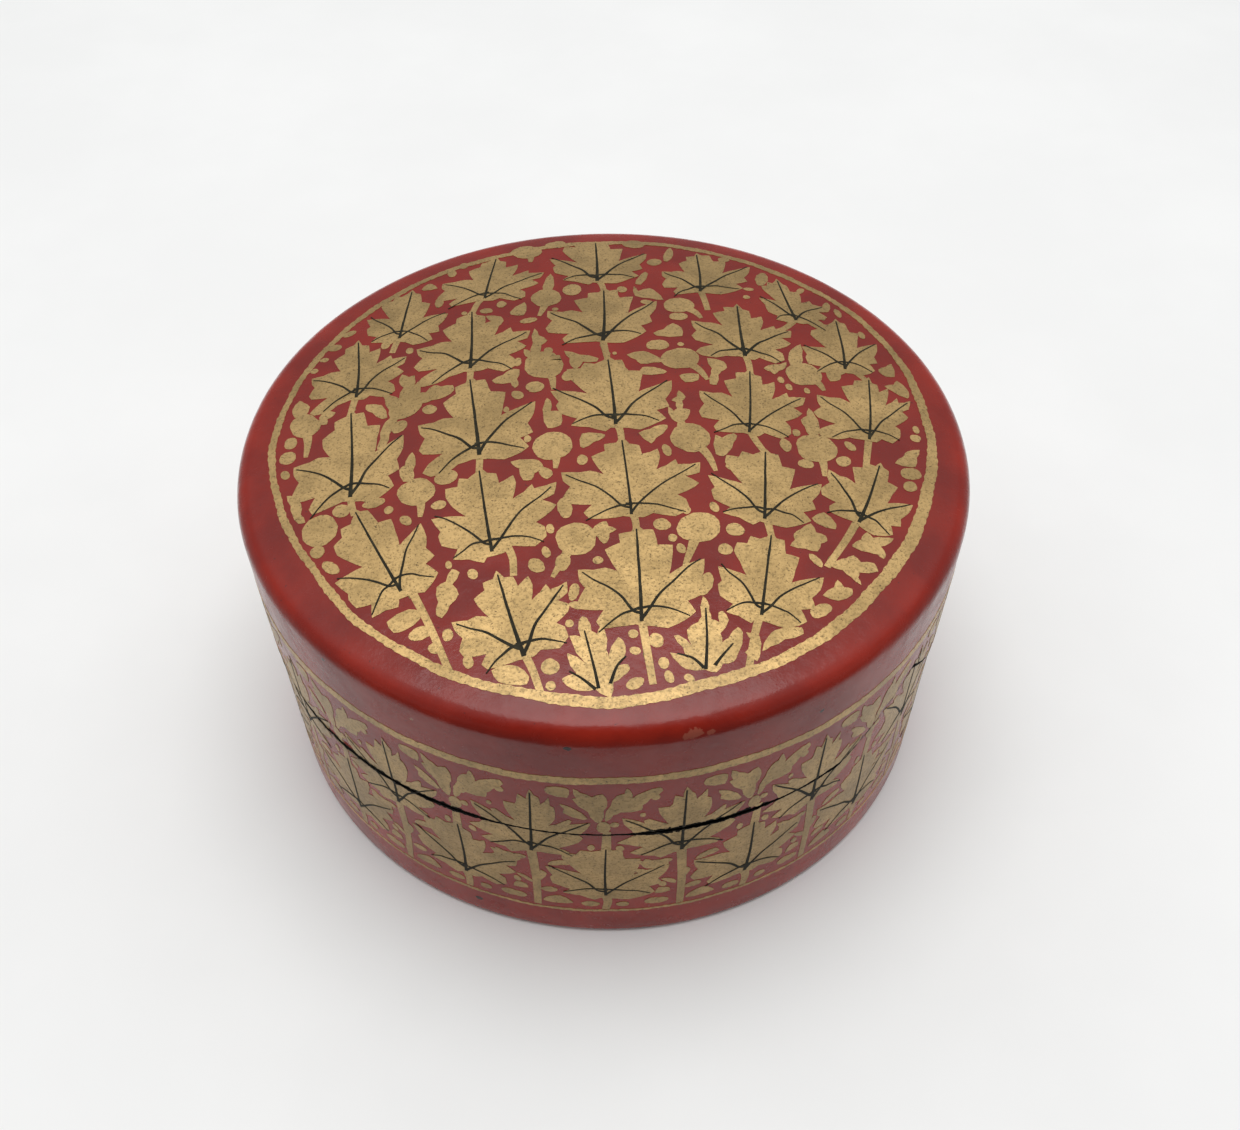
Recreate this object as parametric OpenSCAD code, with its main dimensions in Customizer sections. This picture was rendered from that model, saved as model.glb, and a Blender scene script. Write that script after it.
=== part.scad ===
// A round lacquered papier mache box: a base and a lift-off lid, each a rolled
// paper wall closed by a pressed paper disc. The base holds a black collar that
// the lid slips over, and one tooth in the seam keeps the lid from turning.
// Outside is red lacquer with gilt lines and chinar leaves, and inside is black.
// Millimetres, with Z up. The origin is the middle of the underside, and -Y is
// the near side. Angles around the box run from the near side towards +X.

/* [Box] */
// Radius of the base over its lacquer
box_r = 55; // [48:0.5:62]
// How far the lid's side stands out past the base's
lid_overhang = 0.2; // [0.1:0.1:0.6]
// Height of the seam
seam_z = 29.5; // [25:0.5:32]
// Height at which the lid's side turns over into its top
shoulder_z = 54; // [50:0.5:62]
// Rise of the domed top above the shoulder
crown_rise = 3.3; // [2:0.1:5]
// Radius of the rounded shoulder
shoulder_r = 2.5; // [1.5:0.1:3.5]
// Radius of the rounded foot
foot_r = 1.2; // [0.8:0.1:2]

/* [Walls] */
// Thickness of the base's paper floor
floor_t = 3; // [2.2:0.1:5]
// Thickness of the base's rolled paper wall
base_wall_t = 3.2; // [2.4:0.1:4.5]
// Thickness of the lid's paper crown
crown_t = 3; // [2:0.1:4.5]
// Thickness of the ground and red lacquer outside
lacquer_t = 0.5; // [0.3:0.05:0.7]
// Thickness of the black lining inside
lining_t = 0.3; // [0.2:0.05:0.6]

/* [Collar] */
// Thickness of the collar
collar_t = 1.6; // [1:0.1:2.5]
// Height of the collar above the seam
collar_rise = 10; // [9:0.5:14]
// Bevel that leads the lid onto the collar
collar_lead = 0.5; // [0.3:0.1:0.9]
// Play between the collar and the lid, on the radius
collar_fit = 0.3; // [0.2:0.05:0.6]

/* [Seam] */
// Gap between the edges of base and lid
seam_gap = 0.3; // [0.2:0.05:0.6]
// Height of the tooth above the seam
tooth_h = 7.9; // [4:0.1:8.5]
// Angle around the box at the tooth's peak
tooth_at = 54; // [0:1:90]
// Angle that the tooth's long flank covers
tooth_climb = 17; // [10:1:25]
// Angle that the tooth's short flank covers
tooth_fall = 10; // [8:1:20]

/* [Gilding] */
// Thickness of the raised gold paint
gilt_t = 0.1; // [0.05:0.05:0.3]
// Middle radius of the gold ring on the top
ring_r = 49.3; // [44:0.1:50.5]
// Width of the gold ring on the top
ring_w = 1.5; // [0.8:0.1:2.5]
// Height of the gold line on the lid's side
side_line_z = 43.3; // [41.5:0.1:46]
// Width of the gold line on the lid's side
side_line_w = 1.3; // [0.6:0.1:2]
// Height of the gold line above the foot
foot_line_z = 7; // [4:0.1:8]
// Width of the gold line above the foot
foot_line_w = 0.6; // [0.3:0.1:1.2]

/* [Leaves] */
// Number of leaves in each row around the side
leaves_around = 16; // [10:1:16]
// Height of a leaf on the side
side_leaf_h = 15.5; // [12:0.5:17]
// Height at which the upper row's leaves meet their stems
upper_row_z = 24.5; // [23:0.5:26]
// Height at which the lower row's leaves meet their stems
lower_row_z = 11; // [9.5:0.5:12]
// Angle around the box of one upper leaf
upper_row_at = -12; // [-30:0.5:30]
// Width of a leaf's stem
stem_w = 1.3; // [0.8:0.1:2]
// Radius of a bud on the top
bud_r = 2.8; // [2:0.1:3.2]

/* [Hidden] */
$fn = 180;

red = [0.62, 0.13, 0.12];
gold = [0.72, 0.58, 0.32];
black = [0.09, 0.08, 0.08];
paper = [0.66, 0.58, 0.46];

// Radii from the outside inwards
foot_in = box_r - foot_r;
lid_r = box_r + lid_overhang;
base_wall_r = box_r - lacquer_t;
collar_r = base_wall_r - base_wall_t;
collar_bore = collar_r - collar_t;
lid_bore = collar_r + collar_fit;
lid_wall_bore = lid_bore + lining_t;

// The dome is part of a sphere, and the shoulder's round touches it from inside
shoulder_in = lid_r - shoulder_r;
dome_r = (pow(shoulder_in, 2) + pow(crown_rise, 2)) / (2 * crown_rise);
dome_z = shoulder_z + crown_rise - dome_r;
shoulder_mid_z = dome_z + sqrt(pow(dome_r - shoulder_r, 2) - pow(shoulder_in, 2));
under_r = dome_r - lacquer_t - crown_t;
lid_wall_top = dome_z + sqrt(pow(under_r, 2) - pow(lid_wall_bore, 2));

shoulder_step = 7.5;
shoulder_turn = 75;
foot_step = 15;
dome_fn = 1440;
reach = 4;          // how far a cutting shape runs past what it cuts
top_z = shoulder_z + crown_rise + reach;
collar_top = seam_z + collar_rise;
row_step = 360 / leaves_around;

// Right half of a chinar leaf, from its tip round to its stem, for a height of 1
leaf_half = [
  [0, 1], [0.05, 0.92], [0.11, 0.94], [0.15, 0.82], [0.24, 0.81], [0.235, 0.68],
  [0.2, 0.53], [0.36, 0.66], [0.4, 0.59], [0.58, 0.66], [0.55, 0.5], [0.46, 0.38],
  [0.48, 0.28], [0.34, 0.19], [0.41, 0.13], [0.4, 0.03], [0.26, -0.06], [0.12, -0.02],
  [0.04, 0]
];
stem_root = 0.25;   // share of a leaf's height that its stem runs up into it
leaf_outline = concat(
  leaf_half,
  [for (i = [len(leaf_half) - 1 : -1 : 1]) [-leaf_half[i][0], leaf_half[i][1]]]
);

// Leaves on the top: x and y of the stem's end, height and tilt. The places are
// given for a field of this radius and grow with the gold ring around it.
planned_field_r = 48.5;
field_share = (ring_r - ring_w / 2) / planned_field_r;
top_leaves = [
  [-19.3, 32.4, 13, -6], [-0.6, 34.6, 12.5, 0], [16.5, 32.6, 12.5, 0], [31.5, 24.4, 11.5, 9],
  [-32.6, 21.5, 13, -4], [-20.6, 13.3, 15.5, 2], [0.2, 18.5, 15, 0], [22.5, 15.3, 14, 0],
  [37.6, 10.8, 12.5, -2], [-37.6, 4.2, 14.5, 5], [-18.2, -6.5, 16.5, 6], [1.6, -0.6, 15.5, 3],
  [21.7, -2.7, 14.5, -4], [38.4, -5.4, 13.5, -6], [-35.8, -14, 15.5, 6], [-15.6, -25.2, 15.5, 8],
  [3.6, -19.5, 15, 3], [22.3, -20.6, 14.5, -4], [35.4, -21.6, 12.5, -18], [-27.6, -31.4, 15, 26],
  [-10.8, -42.4, 13.5, 16], [4.9, -38.4, 15.5, 1], [20.8, -36.8, 13.5, -10]
];
top_buds = [
  [-8.6, 12.5], [-9.4, 32.2], [-8, -5.2], [11.6, 14.4], [10.6, 28.8], [12, -4.4],
  [31, 9.6], [30.6, -8], [-5.2, -24], [13, -22.5], [-26.4, -11.4], [-44.6, 1.6]
];

function shoulder_point(inset, a) = [
  shoulder_in + (shoulder_r - inset) * cos(a),
  shoulder_mid_z + (shoulder_r - inset) * sin(a)
];

// Half section of the lid's outside, moved inwards by the inset
module lid_section(inset) {
  last = shoulder_point(inset, shoulder_turn);
  along = 2 * reach;
  intersection() {
    translate([0, dome_z])
      circle(r = dome_r - inset, $fn = dome_fn);
    polygon(concat(
      [[0, seam_z - reach], [lid_r - inset, seam_z - reach]],
      [for (a = [0 : shoulder_step : shoulder_turn]) shoulder_point(inset, a)],
      [[last[0] - along * sin(shoulder_turn), last[1] + along * cos(shoulder_turn)]],
      [[last[0] - along, top_z], [0, top_z]]
    ));
  }
}

// Half section of the space under the crown and inside the lid's wall
module lid_hollow_section(inset) {
  intersection() {
    translate([0, dome_z])
      circle(r = under_r - inset, $fn = dome_fn);
    translate([0, seam_z])
      square([lid_wall_bore - inset, top_z - seam_z]);
  }
}

// Half section of the base's outside
module base_section() {
  polygon(concat(
    [[0, 0]],
    [for (a = [-90 : foot_step : 0]) [foot_in + foot_r * cos(a), foot_r + foot_r * sin(a)]],
    [[box_r, top_z], [0, top_z]]
  ));
}

module tube(outer, inner, from, to) {
  rotate_extrude()
    translate([inner, from])
      square([outer - inner, to - from]);
}

// A flat outline stood up on the side of the box, with its own X towards +angle
module on_side(angle, from, to) {
  rotate([0, 0, angle])
    translate([0, -from, 0])
      rotate([90, 0, 0])
        linear_extrude(to - from)
          children();
}

// Everything below the seam and its tooth, with the whole cut raised by lift
module below_seam(lift) {
  foot_z = seam_z + lift;
  climb_w = box_r * sin(tooth_climb);
  fall_w = box_r * sin(tooth_fall);
  translate([0, 0, -reach])
    cylinder(h = foot_z + reach, r = lid_r + reach);
  on_side(tooth_at, collar_bore - reach, lid_r + reach)
    polygon([
      [-climb_w, foot_z - reach], [-climb_w, foot_z], [0, foot_z + tooth_h],
      [fall_w, foot_z], [fall_w, foot_z - reach]
    ]);
}

module above_lid_edge() {
  difference() {
    children();
    below_seam(seam_gap);
  }
}

module below_base_edge() {
  intersection() {
    children();
    below_seam(0);
  }
}

// Base
module base_floor() {
  color(paper)
    rotate_extrude()
      intersection() {
        base_section();
        square([base_wall_r, floor_t]);
      }
}

module base_wall() {
  color(paper)
    below_base_edge()
      tube(base_wall_r, collar_r, floor_t, collar_top);
}

module base_collar() {
  color(black)
    rotate_extrude()
      polygon([
        [collar_bore, floor_t], [collar_r, floor_t], [collar_r, collar_top - collar_lead],
        [collar_r - collar_lead, collar_top], [collar_bore, collar_top]
      ]);
}

module base_floor_lining() {
  color(black)
    translate([0, 0, floor_t])
      cylinder(h = lining_t, r = collar_bore);
}

module base_lacquer() {
  color(red)
    below_base_edge()
      rotate_extrude()
        difference() {
          base_section();
          translate([0, -reach])
            square([base_wall_r, top_z + 2 * reach]);
        }
}

// Lid
module lid_wall() {
  color(paper)
    above_lid_edge()
      rotate_extrude()
        intersection() {
          lid_section(lacquer_t);
          translate([lid_wall_bore, seam_z - reach])
            square([shoulder_r + lid_r - lid_wall_bore, lid_wall_top - seam_z + reach]);
        }
}

module lid_crown() {
  color(paper)
    rotate_extrude()
      difference() {
        lid_section(lacquer_t);
        square([lid_r + reach, lid_wall_top]);
        translate([0, dome_z])
          circle(r = under_r, $fn = dome_fn);
      }
}

module lid_lining() {
  color(black)
    above_lid_edge()
      rotate_extrude()
        difference() {
          lid_hollow_section(0);
          lid_hollow_section(lining_t);
        }
}

module lid_lacquer() {
  color(red)
    above_lid_edge()
      rotate_extrude()
        difference() {
          lid_section(0);
          lid_section(lacquer_t);
        }
}

// Gilt lines
module gilt_line(radius, middle_z, width) {
  color(gold)
    tube(radius + gilt_t, radius, middle_z - width / 2, middle_z + width / 2);
}

module dome_skin_section() {
  difference() {
    translate([0, dome_z])
      circle(r = dome_r + gilt_t, $fn = dome_fn);
    translate([0, dome_z])
      circle(r = dome_r, $fn = dome_fn);
  }
}

module lid_top_ring() {
  color(gold)
    rotate_extrude()
      intersection() {
        dome_skin_section();
        translate([ring_r - ring_w / 2, shoulder_z - reach])
          square([ring_w, top_z - shoulder_z + reach]);
      }
}

// Gilt leaves
module leaf(height, stem = 0) {
  polygon(leaf_outline * height);
  if (stem > 0)
    translate([-stem_w / 2, -stem])
      square([stem_w, stem + height * stem_root]);
}

module leaf_row(first_at, stem_end_z, stem, from, to) {
  for (i = [0 : leaves_around - 1])
    on_side(first_at + i * row_step, from, to)
      translate([0, stem_end_z])
        leaf(side_leaf_h, stem);
}

module upper_row(radius) {
  leaf_row(
    upper_row_at, upper_row_z, upper_row_z - foot_line_z - foot_line_w, radius - reach,
    radius + reach
  );
}

module lower_row(radius) {
  leaf_row(
    upper_row_at + row_step / 2, lower_row_z, lower_row_z - foot_line_z - foot_line_w,
    radius - reach, radius + reach
  );
}

module base_leaves() {
  color(gold)
    below_base_edge()
      intersection() {
        tube(box_r + gilt_t, box_r, foot_line_z, collar_top);
        union() {
          upper_row(box_r);
          lower_row(box_r);
        }
      }
}

module lid_side_leaves() {
  color(gold)
    above_lid_edge()
      intersection() {
        tube(lid_r + gilt_t, lid_r, seam_z, side_line_z);
        upper_row(lid_r);
      }
}

module lid_top_leaves() {
  color(gold)
    intersection() {
      rotate_extrude()
        intersection() {
          dome_skin_section();
          translate([0, shoulder_z - reach])
            square([ring_r - ring_w / 2 - stem_w / 2, top_z - shoulder_z + reach]);
        }
      translate([0, 0, shoulder_z - reach])
        linear_extrude(top_z - shoulder_z + reach)
          scale(field_share)
            union() {
              for (spot = top_leaves)
                translate([spot[0], spot[1]])
                  rotate(spot[3])
                    leaf(spot[2]);
              for (spot = top_buds)
                translate([spot[0], spot[1]])
                  circle(r = bud_r);
            }
    }
}

base_floor();
base_wall();
base_collar();
base_floor_lining();
base_lacquer();
gilt_line(box_r, foot_line_z, foot_line_w);  // base_foot_line
base_leaves();
lid_wall();
lid_crown();
lid_lining();
lid_lacquer();
gilt_line(lid_r, side_line_z, side_line_w);  // lid_side_line
lid_top_ring();
lid_side_leaves();
lid_top_leaves();
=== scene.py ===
"""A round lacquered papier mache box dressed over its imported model.

Red lacquer coats, gilt lines, hand-painted gilt chinar leaves with ink veins, and worn
paper, collar and linings inside. The pattern is drawn flat in millimetres, then laid on
the domed top or wrapped around the side. Angles run from the near side towards +X.
"""
import math
import random

import bmesh
import bpy
from mathutils import Matrix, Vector
from bpy.props import (
    FloatProperty,
    FloatVectorProperty,
    IntProperty,
    PointerProperty,
)


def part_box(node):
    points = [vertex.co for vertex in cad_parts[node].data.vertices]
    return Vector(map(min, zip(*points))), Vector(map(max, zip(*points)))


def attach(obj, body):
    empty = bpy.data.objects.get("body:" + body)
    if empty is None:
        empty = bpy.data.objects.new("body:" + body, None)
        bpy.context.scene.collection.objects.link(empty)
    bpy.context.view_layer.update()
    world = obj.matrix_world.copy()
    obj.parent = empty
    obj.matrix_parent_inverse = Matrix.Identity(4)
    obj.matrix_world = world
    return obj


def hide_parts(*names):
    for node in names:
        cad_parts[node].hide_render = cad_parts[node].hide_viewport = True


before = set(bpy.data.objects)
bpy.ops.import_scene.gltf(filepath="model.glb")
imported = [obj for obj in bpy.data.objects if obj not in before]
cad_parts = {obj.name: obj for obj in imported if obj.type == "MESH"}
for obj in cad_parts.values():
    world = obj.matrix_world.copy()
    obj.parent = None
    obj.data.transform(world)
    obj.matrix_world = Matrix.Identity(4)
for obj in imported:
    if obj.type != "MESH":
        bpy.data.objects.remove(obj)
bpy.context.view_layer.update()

bl_info = {
    "name": "Gilt Leaf Papier Mache Box",
    "version": (1, 0, 0),
    "blender": (4, 5, 0),
    "location": "View3D > Sidebar > Papier Mache",
    "description": "Lacquer, gilding, ink and worn paper for a round papier mache box",
    "category": "Object",
}

MM = 0.001
LID_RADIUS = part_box("lid_lacquer")[1][0]
BASE_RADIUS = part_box("base_lacquer")[1][0]
CROWN_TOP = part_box("lid_lacquer")[1][2]
TOOTH_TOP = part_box("base_lacquer")[1][2]


# Sizes and colours that a user would change
def length(name, text, default, low, high):
    return FloatProperty(
        name=name, description=text, default=default, min=low, max=high,
        unit="LENGTH", subtype="DISTANCE", precision=5,
    )


def colour(name, text, default):
    return FloatVectorProperty(
        name=name, description=text, default=default, min=0, max=1, size=3, subtype="COLOR",
    )


class BoxSizes(bpy.types.PropertyGroup):
    lid_radius: length("Lid radius", "Outside of the lid's side", LID_RADIUS, 0.04, 0.08)
    base_radius: length("Base radius", "Outside of the base's side", BASE_RADIUS, 0.04, 0.08)
    crown_top: length("Crown top", "Height of the dome's middle", CROWN_TOP, 0.04, 0.08)
    crown_rise: length("Crown rise", "Rise of the dome above the shoulder", 0.0033, 0, 0.01)
    shoulder_round: length("Shoulder round", "Radius of the shoulder", 0.003, 0.001, 0.005)
    foot_round: length("Foot round", "Radius of the foot's edge", 0.0012, 0.0005, 0.003)
    seam: length("Seam height", "Height of the seam's level part", 0.0295, 0.02, 0.04)
    seam_gap: length("Seam gap", "Gap between base and lid", 0.0003, 0.0001, 0.001)
    tooth_top: length("Tooth top", "Height of the seam's tooth", TOOTH_TOP, 0.03, 0.045)
    coat: length("Lacquer coat", "Thickness of the ground and lacquer", 0.0005, 0.0002, 0.001)
    gilt: length("Gilt thickness", "Height of the gold paint", 0.00005, 0.00003, 0.0003)
    ring_radius: length("Ring radius", "Middle of the ring on the top", 0.0493, 0.04, 0.052)
    ring_width: length("Ring width", "Width of the ring on the top", 0.0015, 0.0005, 0.003)
    side_line: length("Side line", "Height of the gold line on the lid", 0.0433, 0.04, 0.046)
    foot_line: length("Foot line", "Height of the gold line on the base", 0.007, 0.004, 0.009)


class BoxColours(bpy.types.PropertyGroup):
    red: colour("Red", "Red lacquer", (0.23, 0.013, 0.005))
    dark_red: colour("Dark red", "Red lacquer in its deeper places", (0.17, 0.009, 0.004))
    gold: colour("Gold", "Gold paint", (0.52, 0.345, 0.14))
    dull_gold: colour("Dull gold", "Gold paint where it is thin or rubbed", (0.36, 0.237, 0.092))
    ink: colour("Ink", "Veins drawn on the leaves", (0.014, 0.012, 0.005))
    paper: colour("Paper", "Bare pulp", (0.42, 0.34, 0.24))
    black: colour("Black", "Black paint inside", (0.016, 0.014, 0.013))
    floor: colour("Floor", "Studio floor", (0.87, 0.87, 0.86))


class PatternChoices(bpy.types.PropertyGroup):
    leaves_around: IntProperty(
        name="Leaves around", description="Leaves in each row on the side", default=16,
        min=8, max=20,
    )
    unevenness: FloatProperty(
        name="Unevenness", description="How freely the leaves are painted", default=1,
        min=0, max=2, subtype="FACTOR",
    )
    seed: IntProperty(name="Seed", description="Seed of the hand's unevenness", default=7)


def sizes():
    return bpy.context.scene.gilt_box_sizes


def colours():
    return bpy.context.scene.gilt_box_colours


def choices():
    return bpy.context.scene.gilt_box_pattern


# Shape of the box, in millimetres
DROOP_FROM = 48.5
DROOP = 0.008


def crown_height(r, dome_r, dome_z):
    """Height of the dome, which droops a little outside the ring."""
    return dome_z + math.sqrt(dome_r ** 2 - r * r) - DROOP * max(0, r - DROOP_FROM) ** 2


def shape():
    s = sizes()
    lid_r = s.lid_radius / MM
    shoulder_in = lid_r - s.shoulder_round / MM
    rise = s.crown_rise / MM
    dome_r = (shoulder_in ** 2 + rise ** 2) / (2 * rise)
    dome_z = s.crown_top / MM - dome_r
    slope = shoulder_in / math.sqrt(dome_r ** 2 - shoulder_in ** 2)
    slope += 2 * DROOP * (shoulder_in - DROOP_FROM)
    turn = math.pi / 2 - math.atan(slope)
    end = shoulder_in + s.shoulder_round / MM * math.cos(turn)
    return {
        "lid_r": lid_r,
        "base_r": s.base_radius / MM,
        "shoulder_in": shoulder_in,
        "shoulder_r": s.shoulder_round / MM,
        "dome_r": dome_r,
        "dome_z": dome_z,
        "shoulder_z": crown_height(end, dome_r, dome_z) - s.shoulder_round / MM * math.sin(turn),
        "turn": math.degrees(turn),
        "seam": s.seam / MM,
        "gap": s.seam_gap / MM,
        "tooth": (s.tooth_top - s.seam) / MM,
    }


# The seam's tooth: the angle of its top, and how far its two flanks run down from there
TOOTH_AT = 54
TOOTH_CLIMB = 17
TOOTH_FALL = 10
# How far from the seam the walls follow the tooth, and the coats draw back
LID_FOLLOWS = 13
BASE_FOLLOWS = 14
SEAM_REACH = 3
# How deep the gold and the ink reach into what they are painted on
GOLD_DEPTH = 0.2
INK_DEPTH = 0.05
# Edges flatter than this, in degrees, are shaded smooth
SMOOTH_UNDER = 40
# Steps around a coat and around a painted line
COAT_STEPS = 360
LINE_STEPS = 720
# The two bodies, and whether each is the lid
BODIES = (("lid", True), ("base", False))


def tooth_share(theta):
    """How far up the tooth the seam is at an angle, from 0 to 1."""
    up = (theta - TOOTH_AT + TOOTH_CLIMB) / TOOTH_CLIMB
    down = (TOOTH_AT + TOOTH_FALL - theta) / TOOTH_FALL
    return max(0, min(up, down))


def smooth(low, high, value):
    t = max(0, min(1, (value - low) / (high - low)))
    return t * t * (3 - 2 * t)


def edge_back(theta):
    """How far each coat's edge draws back from the seam, where the seam gapes."""
    left = smooth(-125, -100, theta) * smooth(-17, -26, theta) * (0.22 + 0.16 * smooth(-36, -50, theta))
    right = 0.3 * smooth(3, 14, theta) * smooth(31, 20, theta)
    far = 0.2 * smooth(30, 38, theta) * smooth(125, 100, theta)
    ragged = 0.82 + 0.18 * math.sin(1.3 * theta) * math.sin(0.41 * theta + 1)
    return (0.08 + left + right + far) * ragged


def seam_shift(theta, z, form, lid):
    """How a place near the seam moves when the coat's edge draws back."""
    edge = form["seam"] + form["tooth"] * tooth_share(theta)
    if lid:
        return edge_back(theta) * max(0, 1 - (z - edge - form["gap"]) / SEAM_REACH)
    return -edge_back(theta) * max(0, 1 - (edge - z) / SEAM_REACH)


def side_wave(theta, z, lid):
    """How far the hand-made side stands out at an angle in degrees and a height."""
    a = math.radians(theta)
    wave = 0.05 * math.sin(3 * a + 0.6) + 0.04 * math.sin(5 * a - 1.1 + 0.05 * z)
    wave += 0.03 * math.sin(8 * a + 0.09 * z)
    if lid:
        wave += 0.12 * smooth(-62, -80, theta) * smooth(-150, -110, theta)
    else:
        wave -= 0.1 * smooth(30, 70, theta) * smooth(150, 110, theta)
    return wave


def crown_wave(x, y):
    """How far the hand-made top stands up at a place."""
    fade = smooth(54, 44, math.hypot(x, y))
    wave = 0.06 * math.sin(0.11 * x + 0.5) + 0.05 * math.sin(0.13 * y - 0.8)
    return fade * (wave + 0.03 * math.sin(0.16 * (x + y)))


def on_top(x, y, lift, form):
    """A flat point laid on the domed top."""
    z = crown_height(math.hypot(x, y), form["dome_r"], form["dome_z"])
    return (x * MM, y * MM, (z + crown_wave(x, y) + lift) * MM)


def on_side(along, z, lift, form, lid):
    """A flat point, with its distance along the side, wrapped around the box."""
    radius = form["lid_r"] if lid else form["base_r"]
    theta = math.degrees(along / form["base_r"])
    z += seam_shift(theta, z, form, lid)
    out = radius + side_wave(theta, z, lid) + lift
    a = math.radians(theta)
    return (out * math.sin(a) * MM, -out * math.cos(a) * MM, z * MM)


# Helpers that stand for the hand on the mouse
def only(obj):
    if bpy.context.object and bpy.context.object.mode != "OBJECT":
        bpy.ops.object.mode_set(mode="OBJECT")
    bpy.ops.object.select_all(action="DESELECT")
    bpy.context.view_layer.objects.active = obj
    if obj:
        obj.select_set(True)


def edit(obj):
    only(obj)
    bpy.ops.object.mode_set(mode="EDIT")
    bpy.ops.mesh.select_mode(type="VERT")


def leave():
    bpy.ops.object.mode_set(mode="OBJECT")


def name_piece(name):
    obj = bpy.context.object
    obj.name = name
    obj.data.name = name
    return obj


def apply_modifier(obj, kind, **settings):
    only(obj)
    mod = obj.modifiers.new(kind.title(), kind)
    for key, value in settings.items():
        setattr(mod, key, value)
    bpy.ops.object.modifier_apply(modifier=mod.name)


def thicken(obj, thick):
    """Gives a surface its thickness, in metres, on the inside, and shades it smooth."""
    apply_modifier(obj, "SOLIDIFY", thickness=thick, offset=-1)
    only(obj)
    bpy.ops.object.shade_smooth_by_angle(angle=math.radians(SMOOTH_UNDER))
    return obj


def settle(obj):
    """Puts a piece's place into its mesh."""
    only(obj)
    bpy.ops.object.transform_apply(location=True, rotation=True, scale=True)


def give(obj, material, body, slot, *nodes):
    obj.data.materials.clear()
    obj.data.materials.append(material)
    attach(obj, body)
    if nodes:
        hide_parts(*nodes)


# Shells and lines, turned from a circle
def turned_shell(name, profile, segments, closed_top):
    """A shell of rings, extruded and resized one after the other from a circle."""
    only(None)
    first = profile[0]
    bpy.ops.mesh.primitive_circle_add(
        vertices=segments, radius=first[0] * MM, fill_type="NOTHING",
        location=(0, 0, first[1] * MM),
    )
    obj = name_piece(name)
    settle(obj)
    edit(obj)
    bpy.ops.mesh.select_all(action="SELECT")
    last = first
    for ring in profile[1:]:
        rise = (ring[1] - last[1]) * MM
        bpy.ops.mesh.extrude_region_move(TRANSFORM_OT_translate={"value": (0, 0, rise)})
        grow = ring[0] / last[0]
        bpy.ops.transform.resize(value=(grow, grow, 1))
        last = ring
    if closed_top:
        bpy.ops.mesh.extrude_region_move()
        bpy.ops.mesh.merge(type="CENTER")
    bpy.ops.mesh.select_all(action="SELECT")
    bpy.ops.mesh.remove_doubles(threshold=1e-7)
    bpy.ops.mesh.normals_make_consistent(inside=False)
    leave()
    return obj


def angle_of(co):
    return math.degrees(math.atan2(co.x, -co.y))


def wave_shell(obj, form, lid):
    """Lets the edge follow the tooth, and gives the walls their hand-made unevenness."""
    for vert in obj.data.vertices:
        co = vert.co
        theta = angle_of(co)
        z = co.z / MM
        radius = math.hypot(co.x, co.y) / MM
        if lid:
            edge = form["seam"] + form["gap"]
            free = LID_FOLLOWS - form["gap"]
            share = max(0, 1 - (z - edge) / free)
        else:
            share = max(0, 1 - (form["seam"] - z) / BASE_FOLLOWS)
        z += share * form["tooth"] * tooth_share(theta)
        if radius > form["shoulder_in"]:
            z += seam_shift(theta, z, form, lid)
        if radius > 0.01:
            out = 1 + side_wave(theta, z, lid) / form["base_r"]
            co.x *= out
            co.y *= out
        if lid:
            z += crown_wave(co.x / MM, co.y / MM)
        co.z = z * MM


def lid_profile(form):
    edge = form["seam"] + form["gap"]
    rings = [(form["lid_r"], edge + LID_FOLLOWS * i / 10) for i in range(11)]
    even = form["shoulder_z"] - edge - LID_FOLLOWS
    rings += [(form["lid_r"], edge + LID_FOLLOWS + even * i / 4) for i in (1, 2, 3)]
    steps = 12
    for i in range(steps + 1):
        a = math.radians(form["turn"] * i / steps)
        rings.append((
            form["shoulder_in"] + form["shoulder_r"] * math.cos(a),
            form["shoulder_z"] + form["shoulder_r"] * math.sin(a),
        ))
    start = rings[-1][0]
    for i in range(1, 40):
        r = start * (1 - i / 40)
        rings.append((r, crown_height(r, form["dome_r"], form["dome_z"])))
    return rings


def base_profile(form):
    foot = sizes().foot_round / MM
    inner = form["base_r"] - foot
    rings = []
    for a in (-54, -42, -28, -14, 0):
        turn = math.radians(a)
        rings.append((inner + foot * math.cos(turn), foot + foot * math.sin(turn)))
    low = form["seam"] - BASE_FOLLOWS
    rings += [(form["base_r"], foot + (low - foot) * i / 5) for i in range(1, 6)]
    rings += [(form["base_r"], low + BASE_FOLLOWS * i / 10) for i in range(1, 11)]
    return rings


def painted_line(name, low, high, lay, wobble):
    """A gold line right around: two edges that wander a little apart."""
    only(None)
    bpy.ops.mesh.primitive_circle_add(vertices=LINE_STEPS, radius=low * MM, fill_type="NOTHING")
    obj = name_piece(name)
    edit(obj)
    bpy.ops.mesh.select_all(action="SELECT")
    for i in (1, 2):
        bpy.ops.mesh.extrude_region_move()
        grow = (low + (high - low) * i / 2) / (low + (high - low) * (i - 1) / 2)
        bpy.ops.transform.resize(value=(grow, grow, 1))
    leave()
    middle = (low + high) / 2
    for vert in obj.data.vertices:
        theta = angle_of(vert.co)
        r = math.hypot(vert.co.x, vert.co.y) / MM
        side = (r - middle) / (high - middle)
        r += wobble(theta, side)
        vert.co = lay(theta, r)
    edit(obj)
    bpy.ops.mesh.select_all(action="SELECT")
    bpy.ops.mesh.normals_make_consistent(inside=False)
    leave()
    apply_modifier(obj, "SOLIDIFY", thickness=GOLD_DEPTH * MM, offset=-1)
    return obj


# Flat painted shapes
def signed_area(points):
    total = 0
    for i, (x, y) in enumerate(points):
        nx, ny = points[(i + 1) % len(points)]
        total += x * ny - nx * y
    return total / 2


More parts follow.
